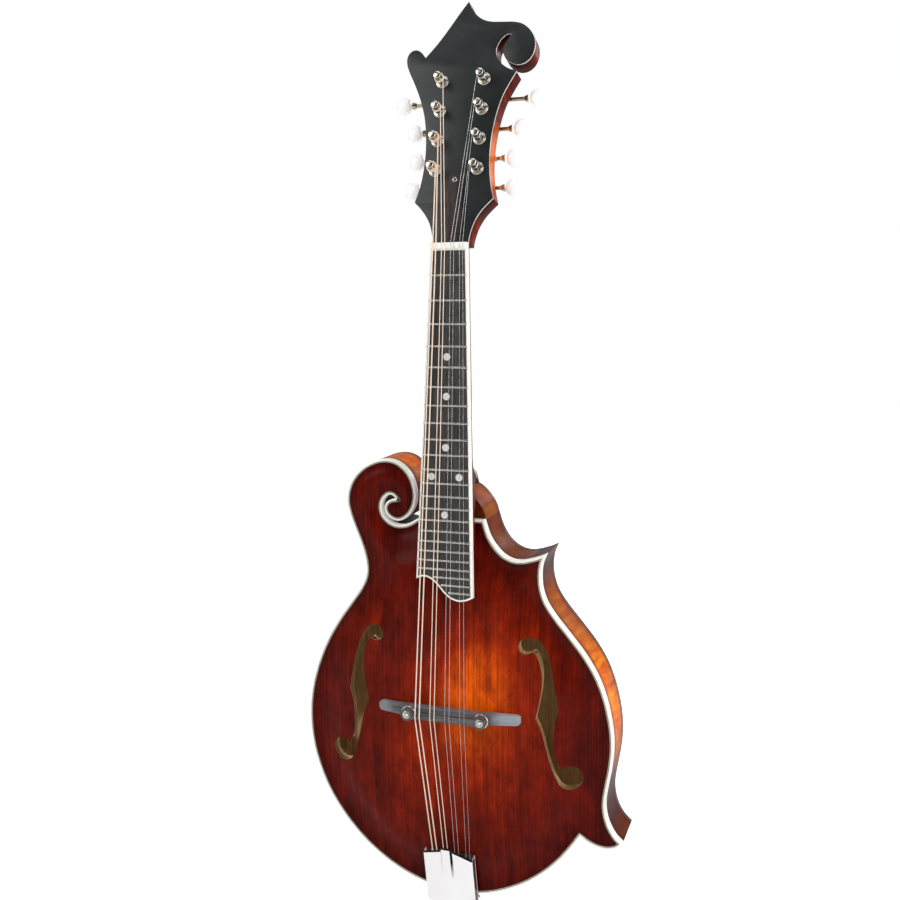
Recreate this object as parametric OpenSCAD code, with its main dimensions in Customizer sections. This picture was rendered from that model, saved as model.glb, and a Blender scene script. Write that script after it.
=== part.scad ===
// F-style (scroll) mandolin: eight strings in four pairs, carved arched plates
// on bent ribs, set neck, floating two-piece bridge and a folded tailpiece.
// +Z runs along the body towards the headstock, +X to the treble side and the
// strings face -Y.  The origin is on the end pin's axis, at the inner face of
// its round head, where a strap's eye rests.

/* [Body] */
// Width of the lower bout
body_width = 254; // [250:1:258]
// Depth of the body at its edge, from the front rim to the back rim
rim_depth = 44; // [43:0.5:46]
// Rise of the carved top over its edge
top_arch = 16; // [15:0.5:16.5]
// Rise of the carved back over its edge
back_arch = 15; // [13:0.5:17]
// Thickness of the carved plates at the middle of the body
plate_t = 4.5; // [4:0.1:5.5]
// Thickness of the bent ribs
rib_t = 2.3; // [2:0.1:2.6]
// Width of the edge binding seen from the front
binding_w = 1.6; // [1.4:0.1:1.8]
// Depth of the edge binding
binding_h = 6; // [5:0.5:6]

/* [Neck] */
// Vibrating length of the strings, nut to saddle
scale_length = 352.4; // [351:0.2:354]
// Width of the nut
nut_width = 28.6; // [28:0.2:30]
// Thickness of the fretboard
board_t = 5; // [4.5:0.1:5.5]
// Angle of the neck to the body, degrees
neck_angle = 4.6; // [4.4:0.1:4.8]
// Angle of the headstock to the neck, degrees
head_tilt = 11.5; // [10:0.5:13]
// Number of frets
fret_count = 23; // [20:1:23]
// Thickness of the headstock's wood behind its face plate
head_t = 13; // [12:0.5:14]

/* [Tuners] */
// Distance between neighbouring tuner posts on one side
post_pitch = 23.5; // [23:0.1:23.8]
// Distance of the posts from the centre line
post_x = 16.8; // [16:0.1:17.4]
// Teeth on each tuner gear
gear_teeth = 16; // [16:1:16]
// Distance from the post's axis to the worm's axis
gear_centres = 8.4; // [8.4:0.1:8.6]

/* [Bridge] */
// Length of the bridge base
base_len = 116; // [112:1:118]
// Distance between the two height-adjusting studs
stud_gap = 59; // [57:0.5:60]
// Thread size of the studs, as a radius
stud_r = 1.9; // [1.7:0.1:2]
// Thumbwheel radius
wheel_r = 6; // [5.5:0.25:6.5]

/* [Strings] */
// Radius of each string, thickest pair first
string_r = [0.5, 0.33, 0.19, 0.14]; // [0.1:0.01:0.5]
// Spread of the strings at the bridge, outer string to outer string
bridge_spread = 39.8; // [38:0.2:41]
// Spread of the strings at the nut, outer string to outer string
nut_spread = 23.4; // [22.6:0.2:24]

/* [Hidden] */
$fn = 48;

bass = -1;                       // sign of x on each side
treble = 1;
fit = 0.02;                      // radial clearance of a part in its bore

// body, measured from its own tail
tail_z = 6.5;                    // tail of the body above the origin
front_y = -rim_depth / 2;        // front rim plane
back_y = rim_depth / 2;          // back rim plane
top_edge_t = 6;                  // thickness of the top at its edge
back_edge_t = 5;                 // thickness of the back at its edge
rib_front = front_y + top_edge_t;
rib_back = back_y - back_edge_t;
body_end = 309.7;                // where the neck meets the body
tenon_back = rib_back - 4;       // back end of the dovetail tenon

// neck and headstock
nut_y = -25.4;                   // fretboard face at the nut
nut_z = 163.0 + scale_length;    // nut above the body's tail
nut_t = 4.3;                     // nut size along the neck
head_start = 4.8;                // start of the headstock above the nut's lower face
head_drop = 2.5;                 // headstock face behind the fretboard face at the nut
headplate_t = 2;
head_back = headplate_t + head_t;
truss_r = 2.5;
cover_screw_z = 53.4;
cover_screw_r = 0.9;

// bridge
bridge_z = nut_z - scale_length * cos(neck_angle) - 5.2;
saddle_top = -55.4;
wheel_back = -47;
wheel_front = -49.2;             // the saddle's studded ends rest here

// tuners
post_z = [for (place = [0:3]) 61.7 + place * post_pitch];
post_r = 3;
post_hole_y = -8.8;              // string hole in front of the headstock's face
bushing_r = 4;
tuner_plate_back = head_back + 1;
plate_screw_r = 1.1;
button_x = [40.5, 39, 43, 54];   // middle of each button, lowest first
gear_y = head_back + 4.3;        // middle plane of the gears
gear_t = 2.6;
worm_pitch = 2 * PI * 6 / gear_teeth;
worm_turns = 3.5;

// tailpiece and end pin
tail_tilt = 12;                  // angle of the tailpiece to the body
tail_lift = 0.6;
tailpiece_t = 1.2;
tail_flange_z = -1.25;           // outer face of the tailpiece's bent part, over the body's tail
hook_z = [16, 21];               // hooks alternate between two rows
hook_r = 0.8;
tail_screw_r = 1.4;
pin_r = 3.6;

// ---------------------------------------------------------------- curves
function last(points) = points[len(points) - 1];

// Catmull-Rom spline through control points, steps a span, last point left out
function spline(points, steps = 3) = [for (i = [0:len(points) - 2], k = [0:steps - 1])
    let (t = k / steps, b = points[i], c = points[i + 1],
         a = i > 0 ? points[i - 1] : 2 * b - c,
         d = i + 2 < len(points) ? points[i + 2] : 2 * c - b)
    0.5 * (2 * b + (c - a) * t + (2 * a - 5 * b + 4 * c - d) * t * t
        + (3 * b - a - 3 * c + d) * t * t * t)];

function unit(v) = v / max(1e-9, norm(v));

// distance of a point from the segment between two others
function segment_distance(point, from, to) =
    let (line = to - from, reach = point - from,
         t = max(0, min(1, (reach * line) / max(1e-9, line * line))))
    norm(reach - t * line);
function edge_distance(point, shape) = min([for (i = [0:len(shape) - 1])
    segment_distance(point, shape[i], shape[(i + 1) % len(shape)])]);

// moves every side of a closed outline inwards, mitred at the corners
function moved(shape, dist) = [for (i = [0:len(shape) - 1])
    let (n = len(shape),
         before = unit(shape[i] - shape[(i + n - 1) % n]),
         after = unit(shape[(i + 1) % n] - shape[i]),
         normal_a = [-before[1], before[0]],
         normal_b = [-after[1], after[0]])
    shape[i] + (normal_a + normal_b) * dist / max(0.16, 1 + normal_a * normal_b)];
// whether a moved point is still at its full distance, or passed by a sharp corner's mitre
function is_clear(point, shape, dist) = edge_distance(point, shape) > dist - 0.04;
function inset(shape, dist) = [for (p = moved(shape, dist)) if (is_clear(p, shape, dist)) p];

// points mirrored across the centre line, in reverse order
function mirrored(points) = [for (i = [len(points) - 1:-1:0]) [-points[i][0], points[i][1]]];
// half an outline that ends on the centre line, completed with its mirror image
function both_sides(half) = let (rest = mirrored(half))
    concat(half, [for (i = [1:len(rest) - 1]) rest[i]]);

// ---------------------------------------------------------------- helpers
module body_at() translate([0, 0, tail_z]) children();
module at_neck() body_at() translate([0, nut_y, nut_z]) rotate([-neck_angle, 0, 0]) children();
module at_head() at_neck() translate([0, head_drop, 0]) rotate([-head_tilt, 0, 0]) children();
module at_tail()
    body_at() translate([0, front_y - tail_lift, 0]) rotate([tail_tilt, 0, 0]) children();

// a shape drawn in (x, z), standing between two y planes
module slab(front, back)
    translate([0, back, 0]) rotate([90, 0, 0]) linear_extrude(back - front) children();
// a shape drawn in (y, z), spread evenly to both sides of x = 0
module side_slab(width)
    translate([-width / 2, 0, 0]) rotate([90, 0, 90]) linear_extrude(width) children();
// a shape drawn in (x, y), standing between two z planes
module upright(low, high) translate([0, 0, low]) linear_extrude(high - low) children();
// cylinder along -y
module y_cyl(back, front, r)
    translate([0, back, 0]) rotate([90, 0, 0]) cylinder(h = back - front, r = r);

// ---------------------------------------------------------------- body outline
// The outline seen from the front, as [x, z], in five runs between sharp corners.
// It runs from the scroll's slot over the scroll and the bass side, round the tail
// and up the treble side to the cutaway.
slot_run = [[-26, 309.7], [-30.5, 307.4], [-35.3, 304.4], [-40.2, 302.6], [-45.4, 302.0],
    [-50.4, 303.0], [-54.8, 305.6], [-58.2, 309.4], [-59.6, 314.2], [-59.0, 319.4],
    [-56.8, 323.2], [-53.6, 325.6], [-50.2, 325.4], [-47.2, 322.8]];
scroll_run = [[-47.2, 322.8], [-52.0, 322.0], [-55.9, 319.0], [-57.2, 314.8], [-55.8, 310.4],
    [-51.9, 306.8], [-46.3, 305.2], [-40.2, 307.2], [-35.1, 312.0], [-31.8, 318.6],
    [-30.6, 326.6], [-31.9, 334.8], [-35.0, 342.0], [-39.8, 348.0], [-46.0, 352.2],
    [-53.2, 354.0], [-60.4, 353.5], [-67.6, 351.2], [-75.0, 347.0], [-82.2, 340.2],
    [-87.4, 331.2], [-89.6, 320.4], [-88.0, 310.0], [-83.6, 297.6], [-78.6, 285.0],
    [-75.0, 272.4], [-74.6, 260.6], [-79.2, 249.6], [-88.2, 236.8], [-98.0, 223.4],
    [-108.0, 207.4], [-116.0, 191.0], [-122.0, 174.6], [-126.0, 158.6], [-128.0, 142.0],
    [-127.8, 125.0], [-125.4, 108.0], [-120.6, 91.4], [-113.2, 74.0], [-102.8, 57.2],
    [-89.6, 41.2], [-73.0, 26.2], [-52.0, 13.0], [-27.0, 3.6], [0, 0], [27.0, 3.6],
    [50.0, 13.0], [68.6, 25.2], [83.4, 39.2], [94.0, 52.6], [101.4, 63.6]];
tail_point = 44;                 // place of [0, 0] in scroll_run
under_run = [[101.4, 63.6], [107.6, 59.6], [115.0, 57.0], [122.6, 56.4], [129.2, 58.4],
    [134.2, 62.4]];
side_run = [[134.2, 62.4], [128.4, 68.0], [123.8, 76.0], [121.2, 85.0], [120.6, 95.0],
    [122.4, 107.4], [124.9, 121.6], [126.3, 136.0], [125.8, 150.4], [123.4, 165.0],
    [119.4, 180.0], [113.4, 194.6], [104.2, 209.6], [92.6, 224.2], [81.8, 237.2],
    [74.2, 248.6], [70.6, 259.6], [69.9, 269.8], [71.0, 278.4], [74.2, 286.4]];
horn_run = [[74.2, 286.4], [68.2, 283.6], [61.0, 281.2], [53.8, 279.7], [46.8, 280.3],
    [39.6, 283.8], [33.4, 290.2], [28.4, 298.6], [24.8, 309.7]];

width_scale = body_width / 254;  // the runs are drawn 254 wide
outline = [for (p = concat(spline(slot_run), spline(scroll_run), spline(under_run),
    spline(side_run), spline(horn_run), [last(horn_run)])) [p[0] * width_scale, p[1]]];
outline_count = len(outline);
// places in the outline of the tail's middle and of the treble horn's tip
tail_i = 3 * (len(slot_run) - 1 + tail_point);
horn_i = 3 * (len(slot_run) + len(scroll_run) + len(under_run) + len(side_run) - 4);

module inside_outline(dist) polygon(inset(outline, dist));

// treble half of the shoulders beside the heel, as [x, z]
shoulder = [[24.6, body_end], [23.7, 313.5], [21.4, 318.4], [18.4, 322.8], [14.8, 326.8],
    [11, 330], [7.6, 331.6]];

// ---------------------------------------------------------------- carved plates
rough_outline = [for (i = [0:2:outline_count - 1]) outline[i]];
function smooth(t) = let (u = max(0, min(1, t))) u * u * (3 - 2 * u);
// share of the full rise at a place on the body, 0 to 1
function dome(x, z) =
    let (r = sqrt(pow(x / (122 * width_scale), 2) + pow((z - 150) / (z < 150 ? 146 : 172), 2)))
    r >= 1 ? 0 : pow(1 - pow(r, 2.4), 0.9);
// the share fades from full to nothing over a band along the edge
function arch_share(x, z, margin, band) =
    dome(x, z) * smooth((edge_distance([x, z], rough_outline) - margin) / band);
function arch_out(x, z, rise) = rise * arch_share(x, z, 5, 30);
function arch_in(x, z, rise, edge) = -edge + (rise + edge - plate_t) * arch_share(x, z, 11, 32);

// block of heights over a grid, outer face up the local z
module carved(rise, edge) {
    step = 10;
    x0 = -136;
    x1 = 142;
    z0 = -6;
    z1 = 360;
    nx = ceil((x1 - x0) / step);
    nz = ceil((z1 - z0) / step);
    grid = [for (j = [0:nz], i = [0:nx]) [x0 + i * (x1 - x0) / nx, z0 + j * (z1 - z0) / nz]];
    row = nx + 1;
    layer = row * (nz + 1);
    function side_face(a, b) = [a, b, b + layer, a + layer];
    points = concat([for (g = grid) [g[0], g[1], arch_out(g[0], g[1], rise)]],
        [for (g = grid) [g[0], g[1], arch_in(g[0], g[1], rise, edge)]]);
    outer = [for (j = [0:nz - 1], i = [0:nx - 1]) let (a = j * row + i)
        each [[a, a + row + 1, a + 1], [a, a + row, a + row + 1]]];
    inner = [for (j = [0:nz - 1], i = [0:nx - 1]) let (a = layer + j * row + i)
        each [[a, a + 1, a + row + 1], [a, a + row + 1, a + row]]];
    low_z = [for (i = [0:nx - 1]) side_face(i, i + 1)];
    high_z = [for (i = [0:nx - 1]) side_face(nz * row + i + 1, nz * row + i)];
    low_x = [for (j = [0:nz - 1]) side_face((j + 1) * row, j * row)];
    high_x = [for (j = [0:nz - 1]) side_face(j * row + nx, (j + 1) * row + nx)];
    polyhedron(points, concat(outer, inner, low_z, high_z, low_x, high_x));
}
// carved block cut to the flat shape given as its child
module carved_plate(rise, edge) intersection() {
    carved(rise, edge);
    translate([0, 0, -edge - 1]) linear_extrude(rise + edge + 2) children();
}
// lays a plate on the front rim plane; resize by zeros leaves its size as it is
module on_rim() translate([0, front_y, 0]) rotate([90, 0, 0]) resize([0, 0, 0]) children();

// f-hole on the treble side, as [x, z]: outer edge down, then inner edge up
f_outer_upper = [[62, 222.2], [67.6, 221.2], [73.2, 216.4], [78.2, 206], [81.4, 193], [84, 180],
    [86.4, 168]];
f_outer_lower = [[86.4, 168], [83.4, 157.5], [82.2, 144], [83.2, 132], [87, 122.5], [92, 116]];
f_inner_lower = [[94.6, 106], [88.6, 107.4], [82.8, 115.4], [77.8, 132.5], [73.4, 150],
    [69, 160.6]];
f_inner_upper = [[69, 160.6], [72.2, 176.5], [73.6, 191], [71.4, 203.6], [66.6, 211.8],
    [61, 212]];
module f_hole() {
    polygon(concat(spline(f_outer_upper, 2), spline(f_outer_lower, 2),
        spline(f_inner_lower, 2), spline(f_inner_upper, 2), [last(f_inner_upper)]));
    translate([61.6, 216.2]) circle(r = 6.1, $fn = 24);
    translate([94.4, 113.6]) circle(r = 9.7, $fn = 28);
}

module top_plate() color([0.42, 0.10, 0.03]) body_at() on_rim() difference() {
    carved_plate(top_arch, top_edge_t) inside_outline(binding_w);
    for (m = [0, 1]) mirror([m, 0, 0])
        translate([0, 0, -20]) linear_extrude(60) scale([width_scale, 1]) f_hole();
}

module back_plate() color([0.35, 0.08, 0.03]) body_at() mirror([0, 1, 0]) on_rim() union() {
    carved_plate(back_arch, back_edge_t) polygon(outline);
    // shoulders that carry the ribs' line up to the button under the neck's heel
    translate([0, 0, -back_edge_t]) linear_extrude(back_edge_t) polygon(concat(
        [[-24.6, body_end - 4], [24.6, body_end - 4]], shoulder,
        [for (a = [0:15:180]) [6.8 * cos(a), 336.3 + 6.8 * sin(a)]], mirrored(shoulder)));
}

// two bars glued under the top, cut to the curve of its inner face
bar_w = 6;
bar_low = 62;
bar_high = 260;
module tone_bar(x) translate([x, 0, 0]) side_slab(bar_w) polygon(concat(
    [for (z = [bar_low:9:bar_high]) [front_y + 0.45 - min([for (side = [-bar_w / 2, 0, bar_w / 2])
        arch_in(x + side, z, top_arch, top_edge_t)]), z]],
    [for (z = [bar_high:-9:bar_low]) [front_y - arch_in(x, z, top_arch, top_edge_t) + 2.5
        + 9 * pow(sin((z - bar_low) / (bar_high - bar_low) * 180), 0.7), z]]));
module tone_bars() color([0.85, 0.72, 0.48]) body_at() {
    tone_bar(-27);
    tone_bar(29);
}

// ---------------------------------------------------------------- binding and ribs
module top_binding() color([0.93, 0.90, 0.80]) body_at()
    slab(front_y, front_y + binding_h) difference() {
        polygon(outline);
        inside_outline(binding_w);
    }

// the rib along the outline between two of its points
rib_inner = moved(outline, rib_t);
module rib(from, to) slab(rib_front, rib_back) polygon(concat(
    [for (i = [from:to]) outline[i]],
    [for (i = [to:-1:from]) if (is_clear(rib_inner[i], outline, rib_t)) rib_inner[i]]));
// spots of the two screws that hold the tailpiece to the body's tail
module tail_screw_spots() for (x = [-9, 9]) translate([x, 9, 0]) children();
module tail_screw_holes()
    tail_screw_spots() translate([0, 0, -6]) cylinder(h = 22, r = tail_screw_r + fit);
module tail_holes() {
    translate([0, 0, -6]) cylinder(h = 40, r = pin_r + fit);
    tail_screw_holes();
}
module rib_bass() color([0.50, 0.16, 0.04]) body_at() difference() {
    rib(0, tail_i);
    tail_holes();
}
module rib_treble() color([0.66, 0.28, 0.05]) body_at() difference() {
    rib(tail_i, horn_i);
    tail_holes();
}
module rib_cutaway() color([0.55, 0.14, 0.04]) body_at() rib(horn_i, outline_count - 1);

// ---------------------------------------------------------------- blocks and linings
// block regions in the front view, as [x, z]
neck_region = [[-29, 272], [29, 272], [29, 400], [-100, 400], [-100, 292], [-40, 292]];
tail_region = [[-36, -5], [36, -5], [36, 17], [-36, 17]];
point_regions = [[[60, 262], [90, 262], [90, 300], [60, 300]],
    [[104, 50], [140, 50], [140, 84], [104, 84]]];
block_colour = [0.75, 0.55, 0.30];
lining_colour = [0.80, 0.62, 0.36];
lining_h = 8;

// dovetail of the neck in the front view, grown by a gap
module dovetail(gap) polygon([[-10 - gap, body_end + 1], [10 + gap, body_end + 1],
    [13 + gap, 281 - gap], [-13 - gap, 281 - gap]]);

module neck_block() color(block_colour) body_at() difference() {
    // reaches between the ends of the ribs to the neck's heel
    slab(rib_front, rib_back) intersection() {
        polygon(concat([outline[0]], inset(outline, rib_t), [last(outline)]));
        polygon(neck_region);
    }
    slab(rib_front - 1, tenon_back) dovetail(fit);
}
module tail_block() color(block_colour) body_at() difference() {
    slab(rib_front, rib_back) intersection() {
        inside_outline(rib_t);
        polygon(tail_region);
    }
    tail_holes();
}
module point_blocks() color(block_colour) body_at() slab(rib_front, rib_back) intersection() {
    inside_outline(rib_t);
    union() for (region = point_regions) polygon(region);
}
module lining(front) body_at() slab(front, front + lining_h) difference() {
    inside_outline(rib_t);
    offset(delta = -5) inside_outline(rib_t);
    polygon(neck_region);
    polygon(tail_region);
    for (region = point_regions) polygon(region);
}
module top_lining() color(lining_colour) lining(rib_front);
module back_lining() color(lining_colour) lining(rib_back - lining_h);

// ---------------------------------------------------------------- headstock outline
// Runs between corners in the plane of the headstock's face, as [x, z up from the nut]
head_bass_neck = [[-14.3, 4.8], [-14.6, 9], [-15.8, 14.5], [-18.2, 21], [-22.4, 27.6],
    [-27, 33], [-31.2, 37]];
head_bass_side = [[-31.2, 37], [-28.2, 47.5], [-26.4, 59], [-25.7, 70], [-25.9, 81],
    [-27.1, 93.5], [-29.3, 105.5], [-32.9, 117], [-36.6, 126], [-40.6, 134.4], [-44.6, 142.2],
    [-47.2, 148.8], [-47.6, 154.6], [-45.2, 159], [-41, 160.4], [-36.6, 158.4], [-32.4, 153.4]];
head_peak = [[-32.4, 153.4], [-23.6, 163.6], [-15.2, 175.3], [-7.2, 187.4], [-0.6, 196.6]];
head_scroll = [[-0.6, 196.6], [2.4, 190.2], [6.8, 184.8], [12.4, 180.6], [19, 178.4],
    [27.6, 177.5], [37, 176.6], [44, 174.2], [50, 168.9], [53.6, 162.6], [54.6, 155.4],
    [52.8, 148.4], [48.4, 143.6], [42.2, 142.2], [36.2, 144.4], [31.8, 148.6], [29.9, 153.6],
    [30.6, 159.2], [34, 164.6], [36, 166.9]];
head_slot = [[36, 166.9], [32.2, 167.4], [28, 164.2], [25.2, 159.4], [24.2, 154.6],
    [25.6, 149.4], [29, 144.4], [34.6, 140], [41.6, 137.2]];
head_treble_side = [[41.6, 137.2], [35.6, 126], [31.6, 117], [28.8, 106.8], [26.8, 96],
    [25.7, 85], [25.4, 74], [26.2, 61], [28.2, 48.6], [31, 38.4]];
head_treble_neck = [[31, 38.4], [26.6, 34], [22, 28.6], [18, 21.6], [15.7, 14.5], [14.6, 9],
    [14.3, 4.8]];
head_outline = concat(spline(head_bass_neck, 2), spline(head_bass_side, 2),
    spline(head_peak, 1), spline(head_scroll, 3), spline(head_slot, 3),
    spline(head_treble_side, 2), spline(head_treble_neck, 2), [last(head_treble_neck)]);

// spots on the headstock that its holes and fittings share
module post_spots() for (side = [bass, treble], z = post_z)
    translate([side * post_x, 0, z]) children();
module plate_screw_spots() for (side = [bass, treble], place = [0:3])
    translate([side * 21.6, 0, post_z[place] + (place < 3 ? 8.2 : 5.4)]) children();
module cover_screw_spot() translate([0, 0, cover_screw_z]) children();

// ---------------------------------------------------------------- neck
// half width of the fretboard at a distance from the nut
function board_half(dist) = nut_width / 2 + 0.0324 * dist;

shaft_len = 204;
shaft_over = 8;                  // the shaft runs past the nut into the headstock
module neck_shaft() at_neck() intersection() {
    translate([0, board_t, -shaft_len]) cylinder(h = shaft_len + shaft_over,
        r1 = board_half(shaft_len) - 0.3, r2 = board_half(-shaft_over) - 0.3, $fn = 64);
    translate([-30, board_t, -shaft_len]) cube([60, 40, shaft_len + shaft_over]);
}

// side view of the heel, as [y, z]
heel_side = [[-36.9, body_end], [rib_back, body_end], [rib_back, 343], [15, 343.5],
    [10, 342.6], [4, 341.4], [-3, 342.6], [-9, 346], [-14, 351.5], [-18, 360], [-38, 360],
    [-40, 350]];
// treble half of the heel's cross-section, as [x, y]
heel_section = [[20.3, -42], [20.3, -32], [17.8, -22], [13.4, -8], [9.4, 6], [6.8, rib_back]];
module heel() body_at() {
    intersection() {
        side_slab(44) polygon(heel_side);
        upright(300, 370) polygon(concat(heel_section, mirrored(heel_section)));
    }
    slab(rib_front, rib_back) polygon(concat(shoulder, mirrored(shoulder)));
    slab(rib_front, tenon_back) dovetail(0);
}

// wedge that carries the fretboard over the top
wedge_end = 276;
module board_wedge() body_at() intersection() {
    side_slab(35) polygon(concat(
        [[-60, wedge_end], [-60, body_end + 0.5], [front_y - 0.6, body_end + 0.5]],
        [for (z = [body_end:-6:wedge_end]) [front_y - arch_out(0, z, top_arch) - 0.7, z]]));
    translate([0, nut_y, nut_z]) rotate([-neck_angle, 0, 0])
        translate([-30, board_t, -300]) cube([60, 60, 300]);
}

// pocket in the headstock's face, behind the truss rod's cover
module truss_pocket(depth) translate([-5, -1, 8]) cube([10, depth + 1, 34]);

module neck() color([0.45, 0.13, 0.04]) difference() {
    union() {
        neck_shaft();
        at_head() slab(headplate_t, head_back) polygon(head_outline);
        heel();
        board_wedge();
    }
    // seats of the fretboard and of the headstock's face
    at_neck() translate([-30, -40, -300]) cube([60, 40 + board_t, 300 + nut_t]);
    at_head() translate([-30, -20, head_start]) cube([60, 20 + headplate_t, 60]);
    // truss rod channel
    at_neck() translate([-truss_r - 0.1, board_t - 1, -196]) cube([2 * truss_r + 0.2, 7, 230]);
    at_head() {
        truss_pocket(8);
        post_spots() y_cyl(head_back + 1, 1, bushing_r + fit);
        cover_screw_spot() y_cyl(9, 1, cover_screw_r + fit);
        plate_screw_spots() y_cyl(head_back + 1, head_back - 7, plate_screw_r + fit);
    }
}

// round rod with a hexagonal end behind the nut
module truss_rod() color([0.5, 0.5, 0.52]) at_neck() {
    translate([0, board_t + 3.2, -192]) cylinder(h = 201, r = truss_r);
    translate([0, board_t + 3.2, 9]) cylinder(h = 6, r = truss_r, $fn = 6);
}

cover_t = 1.6;
cover_side = [[7.6, 18], [7.2, 34], [7.3, 46]];
cover_outline = concat([[-8.6, 5.4], [8.6, 5.4]], cover_side,
    [for (a = [0:20:180]) [7.4 * cos(a), 50.6 + 7.6 * sin(a)]], mirrored(cover_side));
module truss_rod_cover() color([0.12, 0.08, 0.07]) at_head() difference() {
    slab(-cover_t, 0) polygon(cover_outline);
    cover_screw_spot() y_cyl(1, -3, cover_screw_r + fit);
}
module truss_cover_screw() color([0.6, 0.6, 0.6]) at_head() cover_screw_spot() {
    y_cyl(8, -cover_t, cover_screw_r);
    difference() {
        y_cyl(-cover_t, -cover_t - 0.7, 1.9);
        translate([-0.3, -cover_t - 1, -3]) cube([0.6, 0.6, 6]);
    }
}

module headplate() color([0.10, 0.11, 0.11]) at_head() difference() {
    slab(0, headplate_t) polygon(head_outline);
    post_spots() y_cyl(3, -1, bushing_r + fit);
    truss_pocket(3);
    // notch from the pocket to the truss rod
    translate([-truss_r - 0.2, -1, 4]) cube([2 * truss_r + 0.4, 4, 6]);
    cover_screw_spot() y_cyl(3, -1, cover_screw_r + fit);
}

module nut() color([0.93, 0.91, 0.84]) difference() {
    at_neck() translate([-nut_width / 2, -1.5, 0.02]) cube([nut_width, board_t + 1.48, nut_t]);
    // channel of the truss rod
    at_neck() translate([-truss_r - 0.12, board_t - 1.5, -1])
        cube([2 * truss_r + 0.24, 7, 10]);
}

// ---------------------------------------------------------------- fretboard
board_inlay = 1.4;               // width of the board's binding
dot_r = 2.78;
dot_depth = 1.2;
side_dot_r = 1;

function fret_distance(n) = scale_length * (1 - pow(2, -n / 12));
function mid_distance(n) = (fret_distance(n) + fret_distance(n - 1)) / 2;

// curved end of the board, as [x, distance from the nut]
board_end = [[-22.4, 250], [-19, 248.4], [-15, 248], [-10, 249.8], [-4.8, 254.2],
    [0.2, 259.6], [5.6, 263.6], [11.8, 265.3], [17.4, 264.6], [22.9, 262.2]];
board_outline = concat([[nut_width / 2, 0], [-nut_width / 2, 0]],
    [for (p = concat(spline(board_end, 2), [last(board_end)])) [p[0], -p[1]]]);

// frets from the 21st on start short of the board's curved end, at these x
short_fret_x = [-9.2, -2.2, 3.6];
function fret_edge(n) = board_half(fret_distance(n)) - board_inlay;
function fret_start(n) = n < 21 ? -fret_edge(n) : short_fret_x[n - 21];
function fret_length(n) = fret_edge(n) - fret_start(n);
// lays a piece along a fret, its local z across the board
module at_fret(n)
    translate([fret_start(n), 0, -fret_distance(n)]) rotate([0, 90, 0]) children();

module dot_spots() {
    for (n = [5, 7, 10, 15]) translate([0, 0, -mid_distance(n)]) children();
    for (x = [-11, 11]) translate([x, 0, -mid_distance(12)]) children();
}
// on the bass edge of the board, local z across it
module side_dot_spots() for (n = [5, 7, 10, 12, 15])
    translate([-board_half(mid_distance(n)) + 0.6, 2.4, -mid_distance(n)])
        rotate([0, 90, 0]) children();

module fretboard() color([0.16, 0.15, 0.15]) at_neck() difference() {
    slab(0, board_t) polygon(inset(board_outline, board_inlay));
    for (n = [1:fret_count])
        at_fret(n) translate([-0.3, -1, -2]) cube([0.6, 3, fret_length(n) + 4]);
    dot_spots() y_cyl(dot_depth, -1, dot_r + fit);
}
module fretboard_binding() color([0.94, 0.92, 0.84]) at_neck() difference() {
    slab(0, board_t) polygon(board_outline);
    slab(-1, board_t + 1) polygon(inset(board_outline, board_inlay));
    side_dot_spots() cylinder(h = 2, r = side_dot_r + fit, center = true);
}
// each fret is a tang in the board's slot under a rounded crown
module frets() color([0.80, 0.80, 0.80]) at_neck() for (n = [1:fret_count]) at_fret(n) {
    translate([-0.28, 0, 0]) cube([0.56, 1.9, fret_length(n)]);
    intersection() {
        translate([0, 0.3, 0]) cylinder(h = fret_length(n), r = 1.15, $fn = 32);
        translate([-2, -3, 0]) cube([4, 3, fret_length(n)]);
    }
}
module position_dots() color([0.95, 0.95, 0.92]) at_neck()
    dot_spots() y_cyl(dot_depth, 0, dot_r);
module side_dots() color([0.05, 0.05, 0.05]) at_neck()
    side_dot_spots() cylinder(h = 1.1, r = side_dot_r, center = true);

// ---------------------------------------------------------------- bridge
base_half_w = 4;
saddle_half_w = 2.6;
// underside of the base, just clear of the top across the base's width
function base_under(x) = front_y - 0.35
    - max([for (z = [-base_half_w, 0, base_half_w]) arch_out(x, bridge_z + z, top_arch)]);
base_half = base_len / 2;
// treble half of the base's end and upper edge, as [x, y]
base_upper = [[base_half, base_under(base_half) - 4.2], [base_half - 3, -40.5],
    [stud_gap / 2 + 12, -43.6], [stud_gap / 2 + 7, -44.6]];
module stud_spot(side) translate([side * stud_gap / 2, 0, bridge_z]) children();

module bridge_base() color([0.17, 0.17, 0.18]) body_at() difference() {
    upright(bridge_z - base_half_w, bridge_z + base_half_w) polygon(concat(
        [for (i = [-10:10]) let (x = i / 10 * base_half) [x, base_under(x)]],
        base_upper, mirrored(base_upper)));
    for (side = [bass, treble]) stud_spot(side) y_cyl(-39.4, -60, stud_r + fit);
}
module bridge_studs() color([0.75, 0.72, 0.62]) body_at() for (side = [bass, treble])
    stud_spot(side) y_cyl(-39.5, -54.4, stud_r);

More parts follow.
